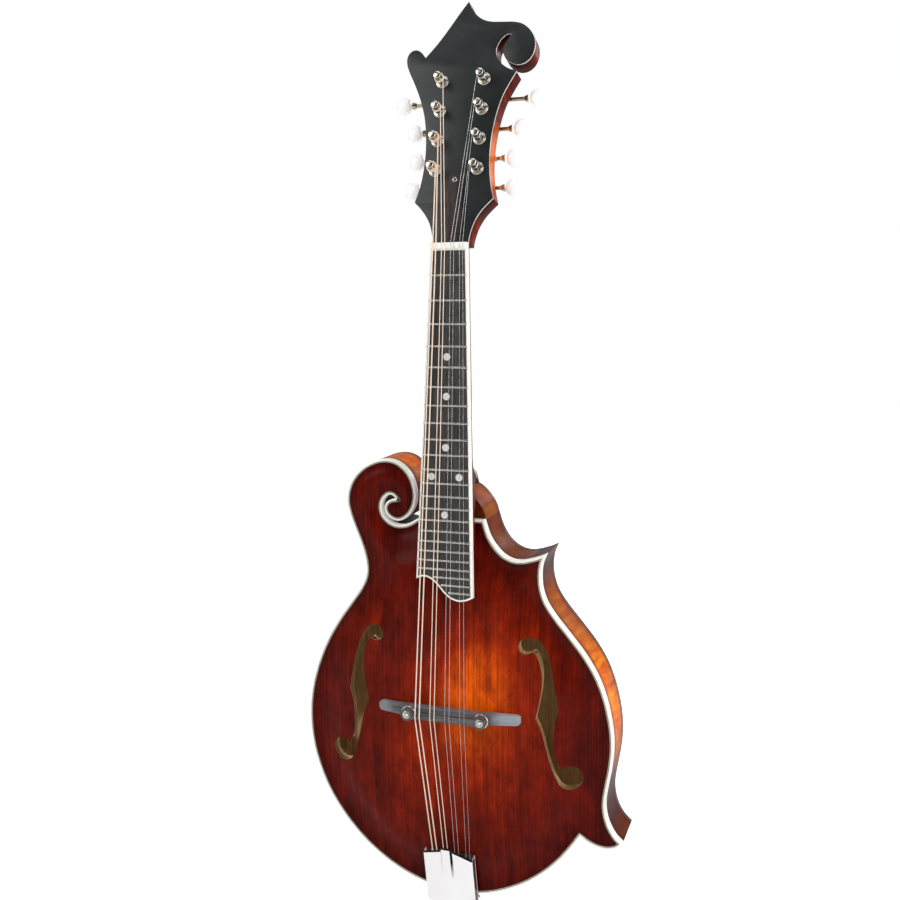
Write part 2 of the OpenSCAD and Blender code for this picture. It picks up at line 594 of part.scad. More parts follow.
// underside of the saddle from bass to treble, and treble half of its top, as [x, y]
saddle_under = [[-34, -49.2], [-23.2, -49.2], [-21.4, -48.4], [-12, -49.6], [0, -50.2],
    [12, -49.6], [21.4, -48.4], [23.2, -49.2], [34, -49.2]];
saddle_upper = [[34, -52.6], [27, -53.2], [22.4, saddle_top]];
module bridge_saddle() color([0.20, 0.20, 0.21]) body_at() difference() {
    union() {
        upright(bridge_z - saddle_half_w, bridge_z + saddle_half_w)
            polygon(concat(saddle_under, saddle_upper, mirrored(saddle_upper)));
        for (side = [bass, treble]) stud_spot(side) y_cyl(wheel_front, -53, 5.2);
    }
    for (side = [bass, treble]) stud_spot(side) y_cyl(-40, -60, stud_r + 0.06);
    // crown sloped off on both sides of the line where the strings rest
    translate([0, 0, bridge_z]) side_slab(56) for (m = [0, 1]) mirror([0, m])
        polygon([[saddle_top - 1, 0.3], [saddle_top, 0.3], [saddle_top + 1.5, 3],
            [saddle_top - 1, 3]]);
}

// wheel with a grooved rim
module thumbwheel(side) color([0.78, 0.77, 0.74]) body_at() stud_spot(side) difference() {
    y_cyl(wheel_back, wheel_front, wheel_r);
    y_cyl(-46, -50, stud_r + 0.05);
    for (a = [0:20:359]) rotate([0, a, 0])
        translate([wheel_r + 0.25, 0, 0]) y_cyl(-46, -50, 0.55, $fn = 16);
}
module thumbwheel_bass() thumbwheel(bass);
module thumbwheel_treble() thumbwheel(treble);

// ---------------------------------------------------------------- strings' places
// Strings are numbered 0 to 7 from the bass side, in pairs.
function pair_x(i, spread, gap) = let (pair = floor(i / 2), width = spread - gap)
    -width / 2 + pair * width / 3 + (i % 2 == 0 ? -gap / 2 : gap / 2);
function hook_x(i) = pair_x(i, 30, 3.4) - 1.6;
function saddle_x(i) = pair_x(i, bridge_spread, 3.5) - 1.4;
function nut_x(i) = pair_x(i, nut_spread, 2.5);

// ---------------------------------------------------------------- tailpiece
module tailpiece_base() color([0.82, 0.82, 0.80]) difference() {
    union() {
        at_tail() translate([-18.5, -tailpiece_t, 0]) cube([37, tailpiece_t, 41]);
        // part over the body's tail, and the strip that joins it to the front
        body_at() translate([-14, front_y - 1.9, tail_flange_z]) {
            cube([28, rim_depth / 2 + 16, tailpiece_t]);
            cube([28, 1.2, 2.6]);
        }
        // hooks with wider heads
        at_tail() for (i = [0:7]) translate([hook_x(i), 0, hook_z[i % 2]]) {
            y_cyl(-tailpiece_t, -4.4, hook_r);
            y_cyl(-4.4, -5, 1.15);
        }
    }
    body_at() translate([0, 0, -6]) cylinder(h = 8, r = pin_r + fit);
    body_at() tail_screw_holes();
}

// folded sheet: two flat wings, a raised middle panel, side walls, an end wall;
// treble halves of its cross-section, as [x, y]
cover_outer = [[20.6, -3.2], [20.6, -8.0], [20.0, -8.8], [5.0, -10.6], [3.4, -12.2], [0, -13]];
cover_inner = [[19.6, 3], [19.6, -7.6], [4.5, -9.6], [3.0, -11.2], [0, -12]];
// what is cut away above the front lip, which points to the middle, as [x, z]
lip_cut = [[-30, 43.4], [-20.6, 43.4], [-5.2, 48.2], [-4.2, 51], [-3, 52.4], [2.4, 52.4],
    [4, 51], [5.2, 48.6], [20.6, 41], [30, 41], [30, 90], [-30, 90]];
cover_low = -4.4;                // lower end of the cover
cover_wall = 0.9;                // thickness of its end wall
module tailpiece_cover() color([0.88, 0.88, 0.88]) at_tail() translate([-1.8, 0, 0])
    difference() {
        union() {
            difference() {
                translate([0, 0, cover_low]) linear_extrude(62) polygon(both_sides(cover_outer));
                translate([0, 0, cover_low + cover_wall]) linear_extrude(72)
                    polygon(both_sides(cover_inner));
            }
            translate([-20.6, -8, cover_low]) cube([41.2, 22, cover_wall]);
        }
        slab(-35, 5) polygon(lip_cut);
        translate([-30, 6.6, -12]) cube([60, 30, 40]);
    }
module tailpiece_screws() color([0.75, 0.75, 0.73]) body_at() tail_screw_spots() {
    translate([0, 0, tail_flange_z]) cylinder(h = 13, r = tail_screw_r);
    translate([0, 0, tail_flange_z - 1.15]) cylinder(h = 1.15, r1 = 1.9, r2 = 2.6);
}
module string_damper() color([0.06, 0.06, 0.06]) at_tail()
    translate([-17.5, -2.25, 36]) cube([35, 1.03, 4.5]);

// pin through the tail, with a chamfered head and a collar that flares to the tailpiece
head_r = 7;
collar_r = 4.6;
collar_h = 3.6;
module end_pin() color([0.06, 0.06, 0.06]) {
    cylinder(h = tail_z + 22, r = pin_r);
    translate([0, 0, -4]) cylinder(h = 4, r = head_r);
    translate([0, 0, -5]) cylinder(h = 1, r1 = 5.8, r2 = head_r);
    cylinder(h = collar_h, r = collar_r);
    translate([0, 0, collar_h]) cylinder(h = tail_z - 1.3 - collar_h, r1 = collar_r, r2 = 6.2);
}

// ---------------------------------------------------------------- tuners
// one plate a side, with a pair of ears round each worm
module tuner_plate(side) color([0.80, 0.78, 0.72]) at_head() difference() {
    union() {
        slab(head_back, tuner_plate_back) polygon([
            [side * 9.6, post_z[0] - 13], [side * 24, post_z[0] - 13],
            [side * 24, post_z[3] + 8], [side * 20, post_z[3] + 11],
            [side * 12.5, post_z[3] + 11], [side * 9.6, post_z[3] + 8]]);
        for (z = post_z, ear = [-5.1, 5.1])
            translate([side * post_x + ear - 0.7, head_back + 0.6, z - gear_centres - 2.6])
                cube([1.4, 5.9, 5.2]);
    }
    for (z = post_z) {
        translate([side * post_x, 0, z]) y_cyl(head_back + 2, head_back - 2, post_r + 0.06);
        translate([side * post_x, gear_y, z - gear_centres]) rotate([0, 90, 0])
            cylinder(h = 14, r = 1.6, center = true);
    }
    plate_screw_spots() y_cyl(head_back + 2, head_back - 2, plate_screw_r + fit);
}
module tuner_plate_bass() tuner_plate(bass);
module tuner_plate_treble() tuner_plate(treble);

module tuner_plate_screws() color([0.78, 0.76, 0.70]) at_head() plate_screw_spots() {
    y_cyl(tuner_plate_back, head_back - 6, plate_screw_r);
    difference() {
        y_cyl(tuner_plate_back + 1.1, tuner_plate_back, 2.1);
        translate([-0.3, tuner_plate_back + 0.6, -3]) cube([0.6, 0.6, 6]);
    }
}
module tuner_bushings() color([0.80, 0.79, 0.76]) at_head() post_spots() difference() {
    union() {
        y_cyl(9, 0, bushing_r);
        y_cyl(0, -1.3, 5.1);
        y_cyl(-1.3, -2.1, 4.2);
    }
    y_cyl(10, -3, post_r + 0.05);
}

// gear outline: a circle whose radius waves once a tooth
function gear_points() = [for (i = [0:gear_teeth * 6 - 1])
    let (a = i / (gear_teeth * 6) * 360,
         r = gear_centres - 2.65 - 0.65 * cos(a * gear_teeth))
    [r * sin(a), -r * cos(a)]];
module tuner_post(side, place) at_head() translate([side * post_x, 0, post_z[place]]) {
    difference() {
        union() {
            y_cyl(gear_y + 1.6, -13.6, post_r);
            y_cyl(head_back + 2.6, tuner_plate_back + fit, 4.2);
        }
        // string hole and waist
        translate([0, post_hole_y, 0]) rotate([0, 90, 0])
            cylinder(h = 12, r = 0.9, center = true, $fn = 20);
        translate([0, post_hole_y, 0]) rotate([90, 0, 0]) rotate_extrude()
            translate([4.6, 0]) circle(r = 2.2, $fn = 20);
    }
    translate([0, gear_y + gear_t / 2, 0]) rotate([90, 0, 0]) linear_extrude(gear_t)
        difference() {
            polygon(gear_points());
            circle(r = post_r);
        }
    // screw that holds the gear on the post
    difference() {
        y_cyl(gear_y + 2.5, gear_y + 1.6, 2.4);
        translate([-3, gear_y + 2.1, -0.3]) cube([6, 0.6, 0.6]);
    }
}

// half section of a button, as [distance from its axis, y]
button_section = [[0, -3.9], [3, -3.8], [5.2, -3.1], [6.4, -1.6], [6.7, 0], [6.4, 1.6],
    [5.2, 3.1], [3, 3.8], [0, 3.9]];
// a round bar set off its axis and twisted, one turn a pitch
module worm() translate([0, 0, -worm_turns / 2 * worm_pitch])
    linear_extrude(worm_turns * worm_pitch, twist = 360 * worm_turns, slices = 28, $fn = 8)
        rotate(360 * worm_turns / 2) translate([-0.65, 0]) circle(r = 2.4, $fn = 8);
module tuner_key(side, place) at_head()
    translate([side * post_x, gear_y, post_z[place] - gear_centres]) {
        reach = button_x[place] - post_x;
        rotate([0, 90, 0]) worm();
        rotate([0, side * 90, 0]) {
            // shaft with two collars
            translate([0, 0, -6.6]) cylinder(h = 6.6 + reach - 3, r = 1.55);
            translate([0, 0, 7.4]) cylinder(h = 1.2, r = 2.3);
            translate([0, 0, reach - 9.8]) cylinder(h = 3, r1 = 1.9, r2 = 2.9);
            // button, pressed on the shaft
            translate([0, 0, reach]) difference() {
                rotate([90, 0, 0]) rotate_extrude() polygon(button_section);
                translate([0, 0, -8]) cylinder(h = 5.1, r = 1.6);
            }
        }
    }

post_colour = [0.82, 0.81, 0.78];
module tuner_post_g1() color(post_colour) tuner_post(bass, 0);
module tuner_post_g2() color(post_colour) tuner_post(bass, 1);
module tuner_post_d1() color(post_colour) tuner_post(bass, 2);
module tuner_post_d2() color(post_colour) tuner_post(bass, 3);
module tuner_post_e1() color(post_colour) tuner_post(treble, 0);
module tuner_post_e2() color(post_colour) tuner_post(treble, 1);
module tuner_post_a1() color(post_colour) tuner_post(treble, 2);
module tuner_post_a2() color(post_colour) tuner_post(treble, 3);
key_colour = [0.93, 0.93, 0.90];
module tuner_key_g1() color(key_colour) tuner_key(bass, 0);
module tuner_key_g2() color(key_colour) tuner_key(bass, 1);
module tuner_key_d1() color(key_colour) tuner_key(bass, 2);
module tuner_key_d2() color(key_colour) tuner_key(bass, 3);
module tuner_key_e1() color(key_colour) tuner_key(treble, 0);
module tuner_key_e2() color(key_colour) tuner_key(treble, 1);
module tuner_key_a1() color(key_colour) tuner_key(treble, 2);
module tuner_key_a2() color(key_colour) tuner_key(treble, 3);

// ---------------------------------------------------------------- strings
string_gap = 0.04;               // clearance of a string from the post and the nut

// turns a vector about the x axis
function turned(v, a) =
    [v[0], v[1] * cos(a) - v[2] * sin(a), v[1] * sin(a) + v[2] * cos(a)];
// points of the tailpiece, neck and headstock frames, in the main frame
function tail_place(v) = [0, front_y - tail_lift, tail_z] + turned(v, tail_tilt);
function neck_place(v) = [0, nut_y, nut_z + tail_z] + turned(v, -neck_angle);
function head_place(v) = neck_place([0, head_drop, 0] + turned(v, -head_tilt));

// post each string goes to, as [side, place]
string_post = [[bass, 0], [bass, 1], [bass, 2], [bass, 3],
    [treble, 3], [treble, 2], [treble, 1], [treble, 0]];

// straight length of string, running a little past both of its ends
module string_run(from, to, r) {
    line = to - from;
    length = norm(line);
    translate(from) rotate([0, acos(line[2] / length), atan2(line[1], line[0])])
        translate([0, 0, -r * 0.3]) cylinder(h = length + r * 0.6, r = r, $fn = 8);
}
module one_string(i) {
    r = string_r[floor(i / 2)];
    side = string_post[i][0];
    z = post_z[string_post[i][1]];
    hook = tail_place([hook_x(i) + hook_r + r + 0.08, -3.6, hook_z[i % 2]]);
    saddle = [saddle_x(i), saddle_top - r - 0.06, bridge_z + tail_z];
    nut = neck_place([nut_x(i), -1.56 - r - string_gap, 4.36]);
    post = head_place([side * (post_x - post_r - r - string_gap), post_hole_y, z]);
    string_run(hook, saddle, r);
    string_run(saddle, nut, r);
    string_run(nut, post, r);
    // turns round the post
    at_head() translate([side * post_x, post_hole_y, z]) difference() {
        y_cyl(2 * r, -2 * r, post_r + string_gap + 2 * r);
        y_cyl(3 * r, -3 * r, post_r + string_gap);
    }
}
module string_pair(first) {
    one_string(first);
    one_string(first + 1);
}
wound_colour = [0.85, 0.66, 0.42];
plain_colour = [0.75, 0.75, 0.76];
module strings_g() color(wound_colour) string_pair(0);
module strings_d() color(wound_colour) string_pair(2);
module strings_a() color(plain_colour) string_pair(4);
module strings_e() color(plain_colour) string_pair(6);

top_plate();
back_plate();
top_binding();
rib_bass();
rib_treble();
rib_cutaway();
neck_block();
tail_block();
point_blocks();
top_lining();
back_lining();
tone_bars();
neck();
truss_rod();
truss_rod_cover();
truss_cover_screw();
headplate();
fretboard();
fretboard_binding();
frets();
position_dots();
side_dots();
nut();
bridge_base();
bridge_studs();
bridge_saddle();
thumbwheel_bass();
thumbwheel_treble();
tailpiece_base();
tailpiece_cover();
tailpiece_screws();
string_damper();
end_pin();
tuner_plate_bass();
tuner_plate_treble();
tuner_plate_screws();
tuner_bushings();
strings_g();
strings_d();
strings_a();
strings_e();
tuner_post_g1();
tuner_post_g2();
tuner_post_d1();
tuner_post_d2();
tuner_post_e1();
tuner_post_e2();
tuner_post_a1();
tuner_post_a2();
tuner_key_g1();
tuner_key_g2();
tuner_key_d1();
tuner_key_d2();
tuner_key_e1();
tuner_key_e2();
tuner_key_a1();
tuner_key_a2();
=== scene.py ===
"""An eight-string mandolin with a scroll body, standing upright.

+x is the treble side, -y the front and +z runs up to the head. Shapes are drawn in millimetres
in the frame of their own part; add_mesh places them in the row frame and turns them to metres.
Outlines are (x, z) points seen from the front.
"""
import json
import math

import bmesh
import bpy
import numpy as np
from mathutils import Matrix, Vector
from mathutils.geometry import delaunay_2d_cdt


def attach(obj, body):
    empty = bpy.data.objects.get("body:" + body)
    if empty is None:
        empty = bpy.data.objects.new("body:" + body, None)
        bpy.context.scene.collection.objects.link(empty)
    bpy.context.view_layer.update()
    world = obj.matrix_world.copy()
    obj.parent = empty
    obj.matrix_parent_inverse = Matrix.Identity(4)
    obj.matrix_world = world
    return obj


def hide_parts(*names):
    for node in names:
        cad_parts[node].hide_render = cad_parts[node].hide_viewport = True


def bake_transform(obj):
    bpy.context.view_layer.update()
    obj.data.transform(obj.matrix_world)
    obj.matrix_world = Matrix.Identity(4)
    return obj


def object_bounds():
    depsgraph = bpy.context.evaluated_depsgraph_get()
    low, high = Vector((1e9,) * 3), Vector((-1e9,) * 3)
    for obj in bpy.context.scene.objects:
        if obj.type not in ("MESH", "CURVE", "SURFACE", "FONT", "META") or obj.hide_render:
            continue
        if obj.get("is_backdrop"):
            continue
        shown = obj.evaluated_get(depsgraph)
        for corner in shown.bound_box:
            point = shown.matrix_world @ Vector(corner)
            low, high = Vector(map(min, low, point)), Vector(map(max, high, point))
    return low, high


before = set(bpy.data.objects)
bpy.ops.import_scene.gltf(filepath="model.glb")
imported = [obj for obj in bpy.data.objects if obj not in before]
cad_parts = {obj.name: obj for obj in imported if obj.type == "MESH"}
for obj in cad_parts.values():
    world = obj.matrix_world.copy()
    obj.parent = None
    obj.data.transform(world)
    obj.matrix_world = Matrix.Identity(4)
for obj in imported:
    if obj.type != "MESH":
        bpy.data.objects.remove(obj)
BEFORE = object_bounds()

MM = 0.001
SCENE = bpy.context.scene


# ------------------------------------------------------------------ sizes and frames
def turn(degrees, axis="X"):
    return Matrix.Rotation(math.radians(degrees), 4, axis)


def shift(x, y, z):
    return Matrix.Translation((x, y, z))


BODY_Z = 6.5                        # lowest point of the body above the row origin
NECK_LEAN, HEAD_LEAN = 4.6, 11.5    # degrees, leaning back
NUT_Y, NUT_Z = -25.4, 515.4
SCALE_LENGTH = 352.4
COVER_X = -1.8                      # the tailpiece cover sits a little to the bass side

ROW_AT = Matrix.Identity(4)
BODY_AT = shift(0, 0, BODY_Z)
NECK_AT = BODY_AT @ shift(0, NUT_Y, NUT_Z) @ turn(-NECK_LEAN)
HEAD_AT = NECK_AT @ shift(0, 2.5, 0) @ turn(-HEAD_LEAN)
TAIL_AT = BODY_AT @ shift(0, -22.6, 0) @ turn(12)
COVER_AT = TAIL_AT @ shift(COVER_X, 0, 0)

FRONT_Y, BACK_Y = -22.0, 22.0       # rims of the top and the back
RIB_FRONT, RIB_BACK = FRONT_Y + 6, BACK_Y - 5
BACK_RIM = BACK_Y - 1.2
TOP_CROWN, BACK_CROWN = 16.0, 15.0  # rise of the arching
TOP_DEPTH, BACK_DEPTH = 6.0, 5.0    # thickness of the plates at the rim
BODY_END = 309.7                    # where the body meets the neck

NUT_HALF = 14.3
BOARD_THICK = 5.0
BRIDGE_Z = NUT_Z - SCALE_LENGTH * math.cos(math.radians(NECK_LEAN)) - 5.2
SADDLE_TOP = -55.4
STUD_X = 29.5

HEAD_THICK = 13
POST_X, POST_R = 16.8, 3.0
POST_Z = [61.7 + 23.5 * i for i in range(4)]
HOLE_Y = -8.8                       # cross hole of the posts
KEY_X = [40.5, 39, 43, 54]
GEAR_Y = 19.3
GEAR_TEETH = 16
GEAR_CENTRES = 8.4                  # post axis to worm axis
WORM_PITCH = 2 * math.pi * 6 / GEAR_TEETH
TOOTH_SWING = 0.65                  # half the height of a tooth

STRING_R = [0.5, 0.33, 0.19, 0.14]  # by course: g, d, a, e
STRING_LAY = 0.04                   # gap between a string and what it lies on


def board_half(down):
    """Half the board's width, by distance below the nut."""
    return NUT_HALF + 0.0324 * down


def fret_at(number):
    return SCALE_LENGTH * (1 - 2 ** (-number / 12))


def between_frets(number):
    return (fret_at(number) + fret_at(number - 1)) / 2


# ------------------------------------------------------------------ curves
def curve(points, steps):
    """A spline through the points, without the last one."""
    out = []
    for i in range(len(points) - 1):
        b, c = np.array(points[i], float), np.array(points[i + 1], float)
        a = np.array(points[i - 1], float) if i > 0 else 2 * b - c
        d = np.array(points[i + 2], float) if i + 2 < len(points) else 2 * c - b
        for k in range(steps):
            t = k / steps
            out.append(0.5 * (2 * b + (c - a) * t + (2 * a - 5 * b + 4 * c - d) * t * t
                              + (3 * b - a - 3 * c + d) * t ** 3))
    return out


def chain(*runs):
    """Splines end to end, each given as (points, steps), with a corner where two meet."""
    out = [point for points, steps in runs for point in curve(points, steps)]
    return np.array(out + [np.array(runs[-1][0][-1], float)])


def circle(x, z, radius, n=40):
    turns = [2 * math.pi * i / n for i in range(n)]
    return np.array([[x + radius * math.cos(a), z + radius * math.sin(a)] for a in turns])


def half_round(radius_x, radius_z, z):
    turns = [math.radians(a) for a in range(0, 181, 9)]
    return [(radius_x * math.cos(a), z + radius_z * math.sin(a)) for a in turns]


def mirrored(points):
    """The points on the other side of the middle, in the opposite order."""
    return [(-x, z) for x, z in reversed(points)]


def look_up(rows, value):
    """Reads a table of (value, result) rows, with straight lines between them."""
    return float(np.interp(value, *zip(*rows)))


# Body outline as (x, z), in five runs, counter-clockwise from the neck's bass side.
SLOT = [
    (-26, 309.7), (-30.5, 307.4), (-35.3, 304.4), (-40.2, 302.6), (-45.4, 302.0), (-50.4, 303.0),
    (-54.8, 305.6), (-58.2, 309.4), (-59.6, 314.2), (-59.0, 319.4), (-56.8, 323.2),
    (-53.6, 325.6), (-50.2, 325.4), (-47.2, 322.8)]
SCROLL_TO_POINT = [
    (-47.2, 322.8), (-52.0, 322.0), (-55.9, 319.0), (-57.2, 314.8), (-55.8, 310.4),
    (-51.9, 306.8), (-46.3, 305.2), (-40.2, 307.2), (-35.1, 312.0), (-31.8, 318.6),
    (-30.6, 326.6), (-31.9, 334.8), (-35.0, 342.0), (-39.8, 348.0), (-46.0, 352.2),
    (-53.2, 354.0), (-60.4, 353.5), (-67.6, 351.2), (-75.0, 347.0), (-82.2, 340.2),
    (-87.4, 331.2), (-89.6, 320.4), (-88.0, 310.0), (-83.6, 297.6), (-78.6, 285.0),
    (-75.0, 272.4), (-74.6, 260.6), (-79.2, 249.6), (-88.2, 236.8), (-98.0, 223.4),
    (-108.0, 207.4), (-116.0, 191.0), (-122.0, 174.6), (-126.0, 158.6), (-128.0, 142.0),
    (-127.8, 125.0), (-125.4, 108.0), (-120.6, 91.4), (-113.2, 74.0), (-102.8, 57.2),
    (-89.6, 41.2), (-73.0, 26.2), (-52.0, 13.0), (-27.0, 3.6), (0, 0), (27.0, 3.6),
    (50.0, 13.0), (68.6, 25.2), (83.4, 39.2), (94.0, 52.6), (101.4, 63.6)]
POINT = [
    (101.4, 63.6), (107.6, 59.6), (115.0, 57.0), (122.6, 56.4), (129.2, 58.4), (134.2, 62.4)]
TREBLE_SIDE = [
    (134.2, 62.4), (128.4, 68.0), (123.8, 76.0), (121.2, 85.0), (120.6, 95.0), (122.4, 107.4),
    (124.9, 121.6), (126.3, 136.0), (125.8, 150.4), (123.4, 165.0), (119.4, 180.0),
    (113.4, 194.6), (104.2, 209.6), (92.6, 224.2), (81.8, 237.2), (74.2, 248.6), (70.6, 259.6),
    (69.9, 269.8), (71.0, 278.4), (74.2, 286.4)]
CUTAWAY = [
    (74.2, 286.4), (68.2, 283.6), (61.0, 281.2), (53.8, 279.7), (46.8, 280.3), (39.6, 283.8),
    (33.4, 290.2), (28.4, 298.6), (24.8, 309.7)]
RUN_STEPS = 6
RUNS = [chain((run, RUN_STEPS)) for run in (SLOT, SCROLL_TO_POINT, POINT, TREBLE_SIDE, CUTAWAY)]
OUTLINE = np.array([p for run in RUNS for p in run[:-1]] + [RUNS[-1][-1]])

# Treble sound hole as (x, z): its outer side downwards, then its inner side upwards.
HOLE_OUTER_UP = [
    (62, 222.2), (67.6, 221.2), (73.2, 216.4), (78.2, 206), (81.4, 193), (84, 180), (86.4, 168)]
HOLE_OUTER_LOW = [(86.4, 168), (83.4, 157.5), (82.2, 144), (83.2, 132), (87, 122.5), (92, 116)]
HOLE_INNER_LOW = [
    (94.6, 106), (88.6, 107.4), (82.8, 115.4), (77.8, 132.5), (73.4, 150), (69, 160.6)]
HOLE_INNER_UP = [
    (69, 160.6), (72.2, 176.5), (73.6, 191), (71.4, 203.6), (66.6, 211.8), (61, 212)]
HOLE = [chain((HOLE_OUTER_UP, 6), (HOLE_OUTER_LOW, 6), (HOLE_INNER_LOW, 6), (HOLE_INNER_UP, 6)),
        circle(61.6, 216.2, 6.1), circle(94.4, 113.6, 9.7)]
HOLES = [shape * np.array([side, 1]) for side in (1, -1) for shape in HOLE]

# Headstock outline as (x, z), clockwise from the nut's bass end.
HEAD_BASS_NECK = [
    (-14.3, 4.8), (-14.6, 9), (-15.8, 14.5), (-18.2, 21), (-22.4, 27.6), (-27, 33), (-31.2, 37)]
HEAD_BASS = [
    (-31.2, 37), (-28.2, 47.5), (-26.4, 59), (-25.7, 70), (-25.9, 81), (-27.1, 93.5),
    (-29.3, 105.5), (-32.9, 117), (-36.6, 126), (-40.6, 134.4), (-44.6, 142.2), (-47.2, 148.8),
    (-47.6, 154.6), (-45.2, 159), (-41, 160.4), (-36.6, 158.4), (-32.4, 153.4)]
HEAD_PEAK = [
    (-32.4, 153.4), (-23.6, 163.6), (-15.2, 175.3), (-7.2, 187.4), (-0.6, 196.6)]
HEAD_CURL = [
    (-0.6, 196.6), (2.4, 190.2), (6.8, 184.8), (12.4, 180.6), (19, 178.4), (27.6, 177.5),
    (37, 176.6), (44, 174.2), (50, 168.9), (53.6, 162.6), (54.6, 155.4), (52.8, 148.4),
    (48.4, 143.6), (42.2, 142.2), (36.2, 144.4), (31.8, 148.6), (29.9, 153.6), (30.6, 159.2),
    (34, 164.6), (36, 166.9)]
HEAD_CURL_SLOT = [
    (36, 166.9), (32.2, 167.4), (28, 164.2), (25.2, 159.4), (24.2, 154.6), (25.6, 149.4),
    (29, 144.4), (34.6, 140), (41.6, 137.2)]
HEAD_TREBLE = [
    (41.6, 137.2), (35.6, 126), (31.6, 117), (28.8, 106.8), (26.8, 96), (25.7, 85), (25.4, 74),
    (26.2, 61), (28.2, 48.6), (31, 38.4)]
HEAD_TREBLE_NECK = [
    (31, 38.4), (26.6, 34), (22, 28.6), (18, 21.6), (15.7, 14.5), (14.6, 9), (14.3, 4.8)]
HEAD = chain((HEAD_BASS_NECK, 5), (HEAD_BASS, 4), (HEAD_PEAK, 2), (HEAD_CURL, 6),
             (HEAD_CURL_SLOT, 6), (HEAD_TREBLE, 4), (HEAD_TREBLE_NECK, 5))


# ------------------------------------------------------------------ plane geometry
def line_distance(points, loop):
    """Distance of each point to a closed outline."""
    points = np.asarray(points, float)
    starts = np.asarray(loop, float)
    along = np.roll(starts, -1, 0) - starts
    squared = np.maximum((along * along).sum(1), 1e-12)
    out = np.full(len(points), 1e9)
    for s in range(0, len(points), 4000):
        away = points[s:s + 4000, None, :] - starts[None]
        t = np.clip((away * along[None]).sum(2) / squared[None], 0, 1)
        out[s:s + 4000] = np.linalg.norm(away - t[..., None] * along[None], axis=2).min(1)
    return out


def inside(points, loop):
    points = np.asarray(points, float)
    starts = np.asarray(loop, float)
    found = np.zeros(len(points), bool)
    for (ax, az), (bx, bz) in zip(starts, np.roll(starts, -1, 0)):
        if az == bz:
            continue
        level = (az > points[:, 1]) != (bz > points[:, 1])
        found ^= level & (points[:, 0] < ax + (points[:, 1] - az) * (bx - ax) / (bz - az))
    return found


def moved(loop, distance):
    """A counter-clockwise outline moved inwards, mitred."""
    loop = np.asarray(loop, float)
    a = loop - np.roll(loop, 1, 0)
    b = np.roll(loop, -1, 0) - loop
    a /= np.maximum(np.linalg.norm(a, axis=1), 1e-9)[:, None]
    b /= np.maximum(np.linalg.norm(b, axis=1), 1e-9)[:, None]
    na = np.stack([-a[:, 1], a[:, 0]], 1)
    nb = np.stack([-b[:, 1], b[:, 0]], 1)
    return loop + (na + nb) * distance / np.maximum(0.16, 1 + (na * nb).sum(1))[:, None]


def inset(loop, distance):
    """moved, without the points that end up too near the outline."""
    points = moved(loop, distance)
    return points[line_distance(points, loop) > distance - 0.02]


def tangents(path):
    t = np.gradient(path, axis=0)
    return t / np.maximum(np.linalg.norm(t, axis=1), 1e-9)[:, None]


def lengths_along(path):
    steps = np.linalg.norm(np.diff(np.array(path, float), axis=0), axis=1)
    return np.concatenate([[0], np.cumsum(steps)])


def smooth(t):
    u = np.clip(t, 0, 1)
    return u * u * (3 - 2 * u)


# ------------------------------------------------------------------ arching
def dome(x, z):
    """Height of the arching from 0 to 1."""
    reach = np.where(z < 150, 146.0, 172.0)
    r = np.sqrt((x / 122.0) ** 2 + ((z - 150) / reach) ** 2)
    return np.where(r >= 1, 0, np.power(np.maximum(0, 1 - np.power(r, 2.4)), 0.9))


def scroll_ridge(points, edge):
    """The scroll's face is carved to a soft ridge that runs round with it."""
    zone = smooth((points[:, 1] - 268) / 26) * smooth((-14 - points[:, 0]) / 14)
    return zone * 2.1 * smooth((edge - 2.9) / 9)


def outer_height(points, crown, edge=None, carve=True):
    """Rise of a plate's outer face; edge is each point's distance from the outline."""
    points = np.asarray(points, float)
    if edge is None:
        edge = line_distance(points, OUTLINE)
    rise = crown * dome(points[:, 0], points[:, 1]) * smooth((edge - 5) / 30)
    if carve:
        rise = rise - 0.55 * np.exp(-((edge - 9) / 4.2) ** 2) * smooth((edge - 3.2) / 3)
        rise = rise + scroll_ridge(points, edge)
    return rise


def inner_height(points, crown, depth, edge=None):
    points = np.asarray(points, float)
    if edge is None:
        edge = line_distance(points, OUTLINE)
    shape = dome(points[:, 0], points[:, 1]) * smooth((edge - 11) / 32)
    return -depth + (crown + depth - 4.5) * shape


def height_normals(points, height, facing):
    """Normals of a height field; facing is the sign of their y."""
    e = 0.25
    slope_x = (height(points + [e, 0]) - height(points - [e, 0])) / (2 * e)
    slope_z = (height(points + [0, e]) - height(points - [0, e])) / (2 * e)
    normals = np.stack([-slope_x, np.full(len(points), facing), -slope_z], 1)
    return normals / np.linalg.norm(normals, axis=1)[:, None]


# ------------------------------------------------------------------ shapes: (points, faces)
def quads(rows, n, wrap=True, ring=False, start=0):
    """Faces between rows of n points. wrap closes each row, ring joins the last to the first."""
    faces = []
    for i in range(rows if ring else rows - 1):
        here, ahead = start + i * n, start + (i + 1) % rows * n
        for k in range(n if wrap else n - 1):
            j = (k + 1) % n
            faces.append((here + k, here + j, ahead + j, ahead + k))
    return faces


def end_caps(rows, n):
    return [tuple(range(n - 1, -1, -1)), tuple((rows - 1) * n + k for k in range(n))]


def extruded(front, back):
    """A solid between two loops of 3D points."""
    n = len(front)
    faces = [tuple(range(n)), tuple(range(2 * n - 1, n - 1, -1))]
    faces += [(i, i + n, (i + 1) % n + n, (i + 1) % n) for i in range(n)]
    return front + back, faces


